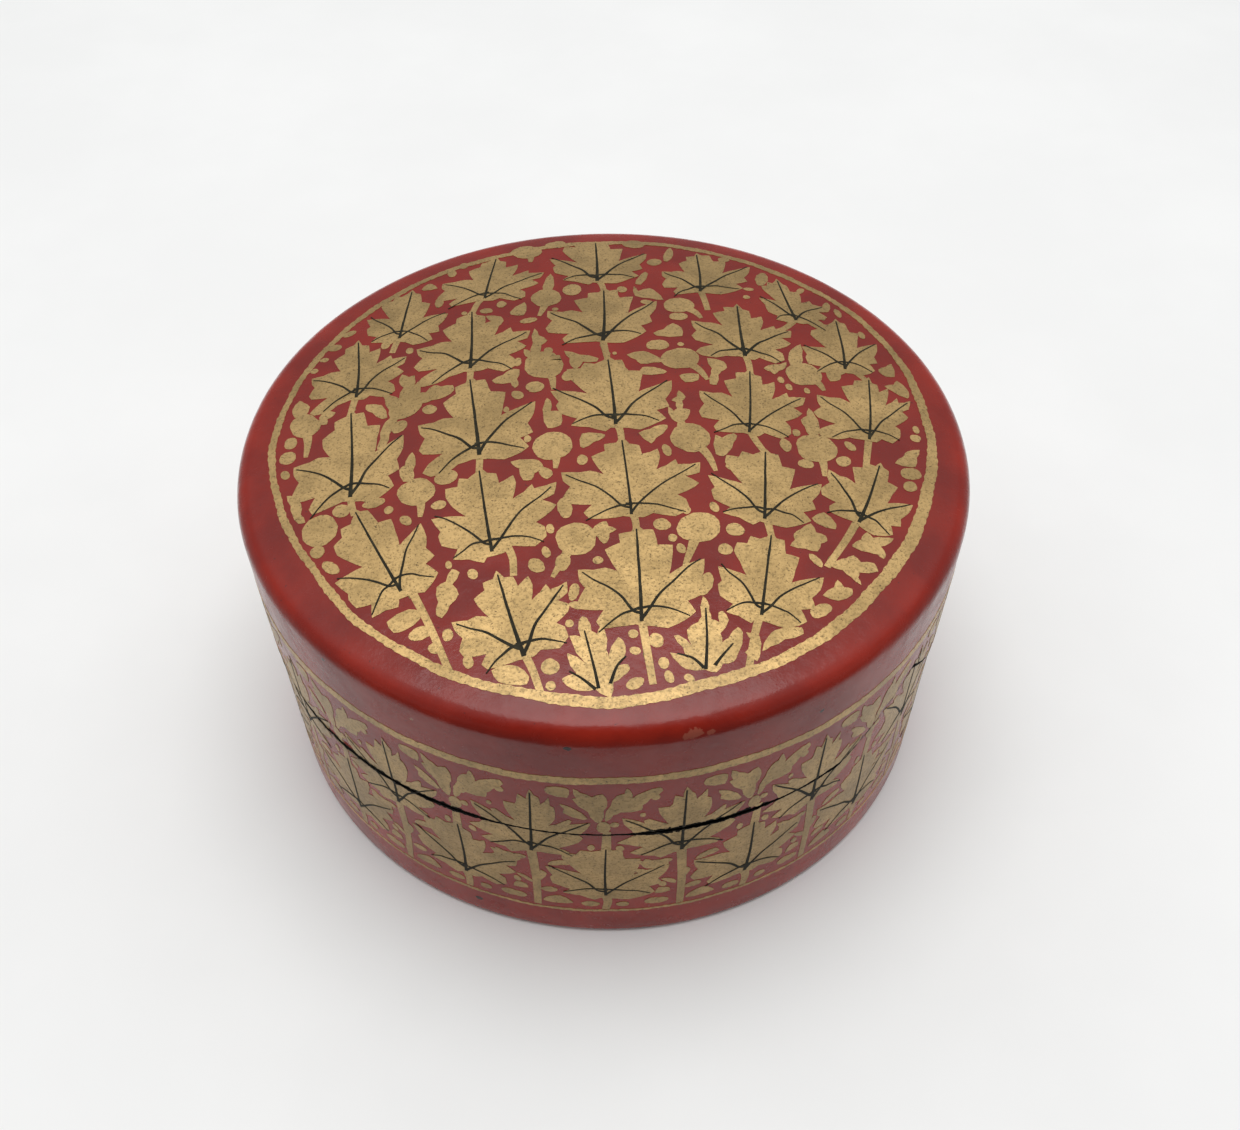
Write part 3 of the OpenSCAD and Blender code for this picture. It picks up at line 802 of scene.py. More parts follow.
# Other small painted shapes on the top, point by point
TOP_PATCHES = [
    [(-6, 16.6), (-3.5, 15.6), (-0.5, 14.5), (-0.8, 13.7), (-3, 13.7), (-4, 11.8), (-4.8, 12.8), (-5, 14.6)],
    [(-17, 10), (-15.4, 11.3), (-14, 12.6), (-12.9, 12.4), (-13.2, 10), (-12.9, 8.6), (-13.5, 8),
     (-14.2, 9.3), (-16.5, 9.2)],
    [(-8.5, 5.2), (-7.8, 4.5), (-7.8, 2.2), (-6.2, 2), (-6.1, 1), (-6.2, -0.8), (-7.1, -1.3),
     (-8.2, -1.6), (-9, 1.5), (-8.9, 4)],
    [(-3.2, -3), (-1, -2.9), (0.3, -3.3), (0.2, -3.8), (-1.5, -4.8), (-3, -6), (-3.4, -5.6)],
    [(5.3, -3.1), (7, -2.3), (8.5, -1.3), (9.6, -1.4), (9.5, -2), (7.8, -4.3), (7, -5.4)],
    [(-13.5, -8.4), (-11, -8), (-9.5, -8.3), (-8.7, -9.8), (-7.5, -10.5), (-7.4, -11.4), (-8.2, -12.3),
     (-9, -11.8), (-9.5, -10.5), (-10, -11), (-10.5, -12.3), (-11.6, -12.3), (-12.2, -10), (-13.2, -9)],
    [(3.9, 15.3), (6.5, 16.3), (8, 15.5), (9.5, 13.5), (8, 13.4), (6, 13), (5.3, 14)],
    [(5.6, 10.5), (6.2, 12), (7, 12.2), (9, 11.8), (10, 11), (9.5, 10.5)],
    [(11.9, 10.1), (12.8, 10.6), (14.9, 10.5), (14.8, 9), (12.8, 8.4)],
    [(11.6, 6.5), (12.6, 5.1), (12.1, 4), (12, 2.3), (13.1, 2), (13, 1), (12.1, -0.5), (12.4, -2),
     (11, -2), (11.2, -0.8), (10.2, 0), (9.9, 2.8), (10.7, 1.8), (11.2, 2.2), (11.1, 3.8), (10.5, 4.2),
     (11.2, 5)],
    [(16.6, -3.5), (17.5, -4), (19.3, -3), (19.8, -3.5), (19.2, -5), (18.3, -7), (17.5, -8), (16.5, -7.5)],
    [(18.4, -8.3), (18.9, -9.8), (18.4, -10.8), (17.6, -10)],
    [(-47, 8.5), (-46.2, 8), (-45.1, 6.8), (-45.7, 4.6), (-47.2, 4.6), (-47.9, 6.5)],
    [(-42.5, 5.3), (-40.8, 4.8), (-41.3, 4), (-42, 3.5), (-41.8, 2.3), (-42.8, 2.3), (-43.3, 4)],
    [(-46, -12.4), (-45, -12.6), (-43.8, -14.2), (-43.5, -16.4), (-42.6, -18), (-43.6, -18.2),
     (-44.8, -16.2), (-45.2, -14.4)],
    [(-36.2, 6), (-33.8, 5.7), (-32.6, 2.8), (-33.5, 2.5), (-35, 4), (-36.2, 5)],
    [(-33.4, -5.5), (-33.2, -2), (-33.2, 0.5), (-32.3, 2.5), (-32.6, 4.5), (-33.4, 7), (-33.8, 8.5),
     (-32.5, 7.8), (-31.2, 7), (-30.8, 9.5), (-31.6, 11), (-31.2, 12.8), (-30.2, 12), (-29.3, 12.4),
     (-29.2, 9), (-28.6, 10.8), (-28, 8), (-27.2, 8), (-26, 9.7), (-25, 9.2), (-23, 9.4), (-22.8, 8.2),
     (-24, 6.8), (-26, 6), (-27.5, 5.4), (-28, 4), (-29.2, 2.6), (-31, 2), (-31.6, 0.6), (-32, -1),
     (-32.4, -3.5), (-32.8, -6)],
    [(-28.2, -5.4), (-27.6, -7), (-27.8, -9), (-27.6, -11.4), (-29, -11.4), (-29.8, -8.8), (-29, -8),
     (-28.9, -6.5)],
    [(16.5, 14.5), (19, 13.8), (19.5, 12.2), (18.5, 11.2), (18, 10.5), (17.5, 8), (16.5, 8.2),
     (16.8, 10.8), (17, 12)],
    [(25.1, 12.3), (26, 13.1), (27.8, 13.5), (28.9, 14.1), (28.5, 12.5), (27.5, 11.8), (26.8, 10.9),
     (26.3, 11.5)],
    [(29.4, 13.4), (29.6, 16.5), (30.5, 18), (31.6, 19), (31.6, 16), (31.2, 13.6)],
    [(34.6, 13.3), (37.5, 12.9), (38.3, 12.4), (37.3, 11.5), (36.8, 10.3), (35.3, 9.8), (35, 11.8)],
    [(43.5, 13.5), (44.8, 14.3), (45.8, 15.3), (45.8, 12), (44.5, 11.8), (43.5, 12.8)],
    [(43.8, 9.5), (45.3, 10), (46, 11), (47.3, 9), (47.5, 7.8), (47, 6.8), (44.8, 8.3)],
    [(31.3, 3.3), (32, 1.5), (32.4, 0), (32, -3), (30.8, -3), (30.2, -1), (29.8, 0.5), (30.8, 1.5)],
    [(42.8, -7.9), (44.3, -6.3), (45, -5.3), (47, -4.8), (46.3, -6.5), (45.8, -8.4), (45, -8.5)],
    [(-1.8, -22.3), (-0.8, -21), (0.2, -20.7), (0.5, -21.7), (1.6, -22.2), (0.7, -23), (0.2, -24.6),
     (-0.2, -24.9), (-1, -23.7)],
    [(-15, -45.2), (-13.5, -44.5), (-11.6, -44.6), (-10, -46.2), (-10.4, -47.4), (-12, -47.4), (-14, -46.8)],
    [(-21, -28.4), (-20, -29), (-20.8, -31), (-19.9, -32.8), (-21, -34.5), (-21.9, -36.6), (-22.8, -36),
     (-22.5, -34), (-22.9, -31.3), (-21.8, -30.5)],
    [(-29.3, -36.8), (-26.6, -34.9), (-25, -35.3), (-24.9, -36.5), (-26.8, -38.3), (-28.3, -38.6)],
    [(29.1, -19.8), (31, -18.5), (32.5, -20.8), (32.4, -21.8), (30, -20.8)],
    [(29, -20.8), (29.5, -22.5), (30.8, -23), (30.9, -24), (30, -24.5), (29.3, -25.9), (27.8, -25.5),
     (25.6, -25), (26.4, -24), (26.3, -22.8), (27.5, -21.8)],
    [(36.8, -22), (37.5, -23), (39.3, -22.8), (40.5, -23), (39.5, -24), (38.5, -24.5), (38.9, -26),
     (38.5, -26.8), (37.8, -26), (36.8, -25.8), (34.5, -24.8), (34.3, -24.5), (35.8, -23.5),
     (36.3, -22.5)],
    [(30.3, -28.1), (32, -27.5), (33.3, -27), (34.4, -26.4), (35.3, -27.5), (37, -27.6), (37.4, -29),
     (34.8, -29.3), (34.5, -30.3), (34.8, -31.5), (33.5, -30.3), (32.5, -29), (31, -28.5)],
    [(29.3, -33.5), (31, -32), (31.6, -30.8), (32.3, -32), (33.5, -32.3), (33.4, -33.3), (31.3, -34.3)],
    [(20.3, -42.8), (21.4, -40.3), (22.5, -39.3), (26, -38.9), (26, -39.8), (23.5, -40.8), (21.5, -42)],
    [(18.4, -39.8), (20.1, -40.3), (20.1, -42.8), (19.5, -44.3), (18, -43), (19, -42.3), (19.3, -41.3)],
    [(-8.4, 39.4), (-7.9, 37), (-8.2, 34), (-9.6, 34), (-9.4, 36.6)],
    [(-12.6, 30.8), (-12.2, 29.4), (-12.7, 26.8), (-14.6, 27.2), (-15, 28)],
    [(5.5, 34.8), (6.2, 33.2), (8.2, 34), (9.2, 33), (10.2, 30.5), (8, 31), (5.6, 31.8)],
    [(7.5, 39.3), (8, 38.6), (6.6, 35.2), (5.8, 35.4), (6.4, 37.6)],
    [(8.3, 21), (10, 22), (11.5, 23.8), (12.8, 22.5), (12.9, 20.3), (8.8, 20.3)],
    [(12.2, 47.6), (12.6, 45), (11.4, 42.6), (10.8, 43), (11.2, 46)],
    [(-10.8, 23), (-10, 21), (-8.6, 19.6), (-9.6, 18.4), (-10.2, 15.6), (-11.2, 15.8), (-10.9, 19)],
    [(-12.3, 17.4), (-11.4, 17), (-10.9, 15), (-12, 15.6)],
    [(-30.2, 36.5), (-29.3, 38), (-28.5, 38), (-27.5, 36.5), (-29.8, 36.1)],
    [(-18.8, 27.2), (-16.4, 26.8), (-15.8, 25.6), (-16.8, 23.8), (-17.6, 25.4)],
    [(13.1, -34.1), (12.6, -37.5), (12.2, -38.3), (10.7, -39.6), (11.2, -42), (9.5, -40.3),
     (8.9, -40.4), (10, -42.3), (10.5, -43.8), (8.2, -43), (9.2, -44.5), (10.2, -45.5), (12.7, -45.6),
     (14.1, -46), (15, -44.8), (16.5, -44.3), (17, -43.3), (18, -39.8), (17.5, -39), (16, -40.8),
     (15.2, -41.5), (15, -40), (16.2, -38), (15.5, -36.5), (15, -36.8), (15.1, -38.3), (14, -37.8),
     (13.7, -36.5), (13.6, -34.8)],
    [(-3.2, -37.1), (-3.6, -38), (-3.4, -40.3), (-4.8, -40.2), (-4.6, -40.8), (-2.8, -44.5),
     (-5.2, -42.9), (-5.2, -43.5), (-4, -46), (-5.7, -46.6), (-5.7, -47.1), (-4.5, -48.3), (-3, -48.6),
     (-1.5, -48.4), (-0.2, -49.4), (0.5, -49.6), (0.8, -47.5), (2, -46.5), (3, -45.5), (2.8, -44.8),
     (1.5, -45), (2.4, -43), (2.2, -41.2), (1.6, -40.5), (0.2, -43.5), (0, -42.5), (-0.2, -39.3),
     (-0.8, -38.9), (-1.3, -40), (-2, -39.5), (-2.6, -37.5)],
]
# Veins of the two narrow leaves by the ring
NARROW_VEINS = [
    [(12.8, -45.6), (13.2, -41), (13.3, -36)], [(12.6, -45.4), (11.2, -43.9), (9.2, -43.2)],
    [(14, -45), (15, -43.6), (16.6, -41.6)], [(-1.1, -48.3), (-1.7, -45), (-2.9, -39.4)],
    [(-1.5, -48.4), (-3.2, -46.8), (-4.9, -45.6)], [(0.4, -47.6), (1.3, -45), (2.5, -43.5)],
]
# The ring by angle: distance of its middle from its usual radius, and its width
RING_WANDER = [
    (-180, 0.3, 1.2), (-147, 0.1, 1.1), (-127, 0, 1.1), (-105, 0.1, 1.1), (-90, 0.4, 1.1),
    (-75, 0, 1.1), (-58, -0.5, 1.1), (-40, 0.1, 1.15), (-18, 0.7, 1.4), (0, 1, 1.7),
    (18, 0, 1.6), (30, 0.3, 1.6), (50, -0.4, 1.9), (67, -0.5, 1.9), (90, 0.2, 1.4),
    (125, 0.8, 1.1), (160, 0.6, 1.1), (180, 0.3, 1.2),
]
# Small shapes on the side, by angle and height, for an upper leaf at this angle
SIDE_AT = -12
SIDE_PATCHES = [
    [(-4.9, 41.6), (-3.9, 40.6), (-2.4, 39.7), (-0.9, 40.4), (-0.3, 38.4), (-0.9, 36.3), (-1.3, 33.1),
     (-2, 33.4), (-3, 36), (-5.2, 39.1), (-4.6, 39.2)],
    [(0.35, 37.5), (1.1, 39.8), (2.2, 40.4), (2.65, 41.6), (3.1, 40.7), (3.3, 39.2), (4.9, 40.4),
     (7.2, 41.2), (7.6, 40.4), (5.9, 38.6), (4.8, 37.2), (4.6, 36), (1.6, 35.7), (0.65, 35.1),
     (-0.4, 33.4), (-0.6, 34.5)],
    [(-8.8, 41.4), (-6.4, 41.6), (-5.7, 41.1), (-6, 39.1), (-8.8, 39.7), (-9.2, 40.6)],
    [(-6.85, 37.6), (-4.9, 36.6), (-3, 34.2), (-3.5, 33.8), (-6.4, 35.3), (-6.2, 36.3)],
    [(-17.9, 20.4), (-17.4, 22.2), (-16.2, 21.6), (-14.1, 21.3), (-13.7, 20.1), (-14.7, 19.4),
     (-17.1, 19.4)],
    [(-9.5, 20.1), (-8.8, 21.3), (-6.4, 21.9), (-5.8, 21), (-7.6, 20.4), (-8.8, 20)],
    [(4.2, 22), (4.9, 21.9), (6, 20.7), (5.2, 20.4)],
    [(-15, 13.3), (-13.4, 13), (-13.1, 11.9), (-15.6, 11.6)],
    [(-10.7, 9.4), (-9.5, 10.6), (-7.9, 11.2), (-6.4, 10.1), (-6, 9.2), (-8, 8.9), (-10.6, 9)],
    [(-14.7, 16.1), (-13.4, 15.9), (-12.2, 14.8), (-12.3, 14.2), (-13.6, 14.9)],
    [(-10.9, 18.4), (-10.1, 17.6), (-10.6, 16), (-11.6, 14.9), (-11.5, 16.4)],
]
SIDE_PEBBLES = [
    (0.8, 32.5, 1.3, 1.2, 20), (-2.8, 26, 1, 1.6, 0), (1.4, 25.8, 1.1, 1.5, 20),
    (-14.7, 9.5, 2.7, 1.6, 0), (-9.5, 12.7, 2.6, 1.4, 10), (-3.2, 9.2, 2.8, 1.5, 0),
    (2, 9.2, 2, 1.3, 0), (6.5, 9.6, 2.7, 1.7, 0), (8, 14.4, 1.1, 1.5, 20),
    (-15.8, 38.9, 1.2, 1.4, 0), (-17.6, 34.7, 0.8, 1, 0), (-23.3, 31.8, 1.9, 3, 0),
    (4.6, 19, 2.2, 1.1, -10), (8.3, 21.2, 2.3, 1.2, 10),
]


def pebble(x, y, wide, high, tilt, hand):
    """A round brush dab, a little uneven."""
    dab = []
    for i in range(9):
        a = math.radians(40 * i + 12)
        free = hand.uniform(0.92, 1.08)
        dab.append((math.cos(a) * wide / 2 * free, math.sin(a) * high / 2 * free))
    return bowed(placed(dab, x, y, 1, tilt), 0.12)


# Chips and pits in the lacquer: angle, height, half width in degrees, half height, colour
BUFF = (0.4, 0.17, 0.1)
RUBBED = (0.33, 0.075, 0.045)
PIT = (0.03, 0.008, 0.006)
SIDE_MARKS = {
    True: [
        (11.6, 51.9, 1.3, 0.7, RUBBED), (13.6, 51.8, 0.7, 0.5, RUBBED), (-28, 49, 0.4, 0.3, BUFF),
        (-5.5, 50.7, 0.5, 0.35, PIT), (31, 47.5, 0.4, 0.3, PIT), (-44, 50.5, 0.4, 0.3, PIT),
    ],
    False: [(58, 24, 0.7, 0.5, PIT), (-22, 4.2, 0.5, 0.4, PIT)],
}


# Finishes
class Tree:
    """A node tree whose nodes are added one by one."""

    def __init__(self, tree):
        self.nodes = tree.nodes
        self.links = tree.links

    def put(self, socket, value):
        if isinstance(value, bpy.types.NodeSocket):
            self.links.new(value, socket)
        elif isinstance(value, tuple) and len(value) == 3 and socket.type == "RGBA":
            socket.default_value = (*value, 1)
        else:
            socket.default_value = value

    def axes(self, place):
        parts = self.nodes.new("ShaderNodeSeparateXYZ")
        self.links.new(place, parts.inputs[0])
        return parts.outputs

    def span(self, value, low, high, start=0, end=1, soft=True):
        """The value's way from low to high, as a way from start to end."""
        node = self.nodes.new("ShaderNodeMapRange")
        node.interpolation_type = "SMOOTHSTEP" if soft else "LINEAR"
        self.put(node.inputs["Value"], value)
        for key, number in zip(("From Min", "From Max", "To Min", "To Max"), (low, high, start, end)):
            node.inputs[key].default_value = number
        return node.outputs["Result"]

    def math(self, kind, a, b=0.0, c=0.0):
        node = self.nodes.new("ShaderNodeMath")
        node.operation = kind
        self.put(node.inputs[0], a)
        self.put(node.inputs[1], b)
        self.put(node.inputs[2], c)
        return node.outputs[0]


class Finish(Tree):
    """A material built from noise and from the place on the box."""

    def __init__(self, name):
        self.material = bpy.data.materials.new(name)
        self.material.use_nodes = True
        super().__init__(self.material.node_tree)
        self.shader = self.nodes["Principled BSDF"]
        self.place = self.nodes.new("ShaderNodeTexCoord").outputs["Object"]

    def noise(self, scale, detail=3, rough=0.5, stretch=(1, 1, 1), offset=0):
        """Noise with its scale in features per millimetre."""
        mapping = self.nodes.new("ShaderNodeMapping")
        mapping.inputs["Scale"].default_value = [s * 1000 for s in stretch]
        mapping.inputs["Location"].default_value = (offset, offset * 0.7, -offset)
        self.links.new(self.place, mapping.inputs["Vector"])
        node = self.nodes.new("ShaderNodeTexNoise")
        self.links.new(mapping.outputs["Vector"], node.inputs["Vector"])
        node.inputs["Scale"].default_value = scale
        node.inputs["Detail"].default_value = detail
        node.inputs["Roughness"].default_value = rough
        return node.outputs["Fac"]

    def mix(self, share, a, b):
        node = self.nodes.new("ShaderNodeMix")
        node.data_type = "RGBA"
        self.put(node.inputs[0], share)
        self.put(node.inputs[6], a)
        self.put(node.inputs[7], b)
        return node.outputs[2]

    def bump(self, height, strength, distance, before=None):
        node = self.nodes.new("ShaderNodeBump")
        node.inputs["Strength"].default_value = strength
        node.inputs["Distance"].default_value = distance * MM
        self.put(node.inputs["Height"], height)
        if before:
            self.put(node.inputs["Normal"], before)
        return node.outputs["Normal"]

    def polar(self):
        """Angle around the box in degrees, height and radius in millimetres."""
        x, y, z = self.axes(self.place)
        turn = self.math("ARCTAN2", x, self.math("MULTIPLY", y, -1.0))
        angle = self.math("MULTIPLY", turn, 180 / math.pi)
        radius = self.math("MULTIPLY", self.math("SQRT", self.math(
            "ADD", self.math("MULTIPLY", x, x), self.math("MULTIPLY", y, y))), 1 / MM)
        return angle, self.math("MULTIPLY", z, 1 / MM), radius

    def seam_distance(self, lid):
        """Distance from the seam's edge in millimetres."""
        form = shape()
        angle, height, _ = self.polar()
        up = self.math("DIVIDE", self.math("SUBTRACT", angle, TOOTH_AT - TOOTH_CLIMB), TOOTH_CLIMB)
        down = self.math("DIVIDE", self.math("SUBTRACT", TOOTH_AT + TOOTH_FALL, angle), TOOTH_FALL)
        share = self.math("MAXIMUM", self.math("MINIMUM", up, down), 0.0)
        line = self.math("MULTIPLY_ADD", share, form["tooth"], form["seam"])
        if lid:
            return self.math("SUBTRACT", self.math("SUBTRACT", height, line), form["gap"])
        return self.math("SUBTRACT", line, height)

    def worn_edge_and_gap_shade(self, lid):
        """Where the coats are broken away along the seam: black next to the gap, partly black paint and
        partly painted shade of the gap, then buff.
        """
        angle, _, _ = self.polar()
        near = self.math("MULTIPLY", self.span(angle, -120, -100), self.span(angle, -15, -24))
        right = self.math("MULTIPLY", self.span(angle, 1, 8), self.span(angle, 27, 20))
        far = self.math("MULTIPLY", self.span(angle, 24, 36), 0.45)
        weak = self.math("ADD", self.math("ADD", near, right), far)
        reach = self.math("MULTIPLY_ADD", weak, 0.46, 0.22)
        rough = self.noise(0.9, 5, 0.65, offset=3)
        limit = self.math("MULTIPLY", reach, self.span(rough, 0.3, 0.7, 0.5, 1.6, soft=False))
        over = self.math("SUBTRACT", self.seam_distance(lid), limit)
        far_left = self.math("MULTIPLY", self.span(angle, -115, -95), self.span(angle, -34, -44))
        strip = self.math("MULTIPLY", far_left, self.span(self.noise(0.5, 4, 0.6), 0.35, 0.6, 0.1, 0.6))
        bare = self.span(self.math("SUBTRACT", over, strip), 0.05, -0.05)
        return self.span(over, 0.05, -0.05), bare

    def wear_and_gap_shade(self, lid, base, rough, metal):
        """Colour, roughness, metal and what is left of the varnish, along a worn edge whose black is partly
        painted shade of the seam's gap.
        """
        black, bare = self.worn_edge_and_gap_shade(lid)
        if not lid:
            base = self.mix(bare, base, (0.3, 0.22, 0.13))
        # Painted shade: the black by the seam is partly black paint and partly stands for the gap's shade;
        # as a black metal it reflects nothing.
        base = self.mix(black, base, (0.006, 0.005, 0.004))
        metal = self.math("MAXIMUM", black, self.math("MULTIPLY_ADD", bare, -metal, metal))
        rough = self.math("MAXIMUM", rough, self.math("MULTIPLY", bare, 0.85))
        return base, rough, metal, self.math("SUBTRACT", 1.0, bare)

    def spot(self, theta, height, half_angle, half_height, offset=0):
        """1 inside a ragged spot on the side or shoulder, 0 outside it."""
        angle, level, _ = self.polar()
        along = self.math("MULTIPLY_ADD", angle, 1 / half_angle, -theta / half_angle)
        up = self.math("MULTIPLY_ADD", level, 1 / half_height, -height / half_height)
        far = self.math("SQRT", self.math(
            "ADD", self.math("MULTIPLY", along, along), self.math("MULTIPLY", up, up)))
        ragged = self.span(self.noise(0.9, 4, 0.6, offset=offset), 0.3, 0.7, -0.5, 0.5)
        return self.span(self.math("ADD", far, ragged), 1.05, 0.85)

    def finish(self, colour_value, roughness, normal=None, **sockets):
        self.put(self.shader.inputs["Base Color"], colour_value)
        self.put(self.shader.inputs["Roughness"], roughness)
        if normal:
            self.put(self.shader.inputs["Normal"], normal)
        for key, value in sockets.items():
            self.put(self.shader.inputs[key.replace("_", " ")], value)
        return self.material


def kept(name, make, *options):
    """Each finish is made once."""
    return bpy.data.materials.get(name) or make(name, *options)


def red_lacquer(name, lid):
    f = Finish(name)
    c = colours()
    cloudy = f.span(f.noise(0.09, 4, 0.55), 0.35, 0.65)
    # Painted light and shade: below the shoulder the red is a lit copy at 1.35 times the written red, and on
    # the top a darker copy at 0.93 times.
    painted_lit_side = [tuple(v * 1.35 for v in tone) for tone in (c.dark_red, c.red)]
    rubbed_and_shaded = [tuple(v * 0.93 for v in tone) for tone in (c.dark_red, c.red)]
    side = f.span(f.polar()[1], 54.2, 53.2)
    base = f.mix(side, f.mix(cloudy, *rubbed_and_shaded), f.mix(cloudy, *painted_lit_side))
    pits = f.span(f.noise(1.6, 2, 0.5, offset=9), 0.72, 0.76)
    base = f.mix(f.math("MULTIPLY", pits, 0.6), base, (0.05, 0.01, 0.01))
    for theta, height, half_angle, half_height, tone in SIDE_MARKS[lid]:
        base = f.mix(f.spot(theta, height, half_angle, half_height, theta), base, tone)
    fine = f.noise(0.7, 4, 0.65, offset=4)
    slow = f.noise(0.16, 2, 0.5, offset=6)
    normal = f.bump(slow, 0.35, 0.5)
    normal = f.bump(fine, 0.35, 0.14, normal)
    normal = f.bump(f.noise(2.4, 2, 0.5, offset=15), 0.3, 0.04, normal)
    rough = f.span(f.noise(0.3, 5, 0.65, offset=12), 0.3, 0.7, 0.16, 0.3)
    base, rough, metal, _ = f.wear_and_gap_shade(lid, base, rough, 0)
    return f.finish(base, rough, normal, Metallic=metal, Specular_IOR_Level=0.34)


def gold_paint(name, lid):
    f = Finish(name)
    c = colours()
    cloudy = f.noise(0.14, 5, 0.65, offset=2)
    # Painted shade: the side leaves' gold is made 0.84 times as bright as the gold on the top and on the
    # lines.
    side_shade_factor = 1 if lid is None else 0.84
    tones = [tuple(v * side_shade_factor for v in tone) for tone in (c.dull_gold, c.gold)]
    base = f.mix(f.span(cloudy, 0.35, 0.65), *tones)
    grain = f.noise(2, 4, 0.7, offset=5)
    base = f.mix(f.span(grain, 0.48, 0.66, 0, 0.6), base, (0.2, 0.135, 0.05))
    specks = f.span(f.noise(3.4, 2, 0.5, offset=14), 0.62, 0.68)
    base = f.mix(f.math("MULTIPLY", specks, 0.7), base, (0.06, 0.035, 0.012))
    flaws = f.span(f.noise(1.3, 3, 0.6, offset=21), 0.69, 0.72)
    base = f.mix(f.math("MULTIPLY", flaws, 0.6), base, (0.06, 0.035, 0.012))
    normal = f.bump(f.noise(0.3, 3, 0.5, offset=6), 0.3, 0.3)
    normal = f.bump(grain, 0.4, 0.08, normal)
    rough = f.span(grain, 0.3, 0.7, 0.4, 0.56)
    metal, coat = 0.9, 0.3
    if lid is not None:
        base, rough, metal, left = f.wear_and_gap_shade(lid, base, rough, 0.9)
        coat = f.math("MULTIPLY", left, 0.3)
    return f.finish(base, rough, normal, Metallic=metal, Coat_Weight=coat, Coat_Roughness=0.2)


def ink(name):
    f = Finish(name)
    thin = f.span(f.noise(0.8, 4, 0.6, offset=8), 0.45, 0.75, 0, 0.5)
    base = f.mix(thin, tuple(colours().ink), (0.06, 0.05, 0.024))
    normal = f.bump(f.noise(2, 3), 0.3, 0.03)
    return f.finish(base, 0.6, normal, Specular_IOR_Level=0.15)


def bare_paper(name, lid):
    """Pulp that was brushed black where it meets the seam."""
    f = Finish(name)
    c = colours()
    pulp = f.mix(f.span(f.noise(0.5, 5, 0.65), 0.3, 0.7), (0.3, 0.23, 0.15), tuple(c.paper))
    fibre = f.noise(1.1, 5, 0.7, (1, 1, 4), offset=3)
    pulp = f.mix(f.span(fibre, 0.55, 0.75, 0, 0.45), pulp, (0.2, 0.15, 0.1))
    worn = f.math(
        "MULTIPLY", f.span(f.noise(0.35, 5, 0.7, offset=11), 0.6, 0.66),
        f.span(f.seam_distance(lid), 1, 1.6))
    brushed = f.mix(worn, tuple(c.black), pulp)
    near = f.span(f.seam_distance(lid), 3.2, 2.2)
    base = f.mix(near, pulp, brushed)
    normal = f.bump(fibre, 0.5, 0.2)
    return f.finish(base, 0.8, normal, Specular_IOR_Level=0.2)


def black_paint(name):
    f = Finish(name)
    strokes = f.noise(0.3, 5, 0.6, (0.35, 0.35, 2.5), offset=5)
    dust = f.span(f.noise(1.2, 4, 0.6, offset=2), 0.62, 0.8, 0, 0.4)
    base = f.mix(dust, tuple(colours().black), (0.1, 0.085, 0.07))
    rubbed_and_shaded = f.span(f.noise(0.12, 4, 0.6, offset=17), 0.66, 0.74, 0, 0.7)
    base = f.mix(rubbed_and_shaded, base, (0.09, 0.065, 0.045))
    normal = f.bump(strokes, 0.5, 0.15)
    rough = f.span(strokes, 0.3, 0.7, 0.3, 0.48)
    return f.finish(base, rough, normal)


def studio_floor(name):
    """A pale sheet that ends in front of the box and beside it, on a darker table."""
    f = Finish(name)
    c = tuple(colours().floor)
    shade = tuple(v * 0.965 for v in c)
    base = f.mix(f.span(f.noise(0.012, 4, 0.6), 0.35, 0.7), shade, c)
    x, y, _ = f.axes(f.place)
    front = f.span(y, -0.112, -0.094, 1, 0)
    beside = f.span(f.math("MULTIPLY_ADD", y, -0.3, f.math("ABSOLUTE", x)), 0.13, 0.155)
    base = f.mix(f.math("MAXIMUM", front, f.math("MULTIPLY", beside, 0.6)), base, (0.16, 0.16, 0.16))
    return f.finish(base, 0.9, None, Specular_IOR_Level=0.1)


# Operators, one for each piece or group of like pieces
class GILTBOX_OT_paper(bpy.types.Operator):
    """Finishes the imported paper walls, the collar and the black linings"""
    bl_idname = "giltbox.paper"
    bl_label = "Paper, Collar and Linings"

    def execute(self, context):
        for material, nodes in (
            (kept("base_pulp", bare_paper, False), ("base_floor", "base_wall")),
            (kept("lid_pulp", bare_paper, True), ("lid_wall", "lid_crown")),
            (kept("black_paint", black_paint), ("base_collar", "base_floor_lining", "lid_lining")),
        ):
            for node in nodes:
                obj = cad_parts[node]
                obj.data.materials.clear()
                obj.data.materials.append(material)
        return {"FINISHED"}


class GILTBOX_OT_red_coats(bpy.types.Operator):
    """Turns the red lacquer coats of lid and base"""
    bl_idname = "giltbox.red_coats"
    bl_label = "Red Lacquer Coats"

    def execute(self, context):
        form = shape()
        for body, lid in BODIES:
            profile = lid_profile(form) if lid else base_profile(form)
            obj = turned_shell(body + "_red_coat", profile, COAT_STEPS, lid)
            wave_shell(obj, form, lid)
            thicken(obj, sizes().coat)
            material = kept(body + "_red_lacquer", red_lacquer, lid)
            give(obj, material, body, "red_lacquer", body + "_lacquer")
        return {"FINISHED"}


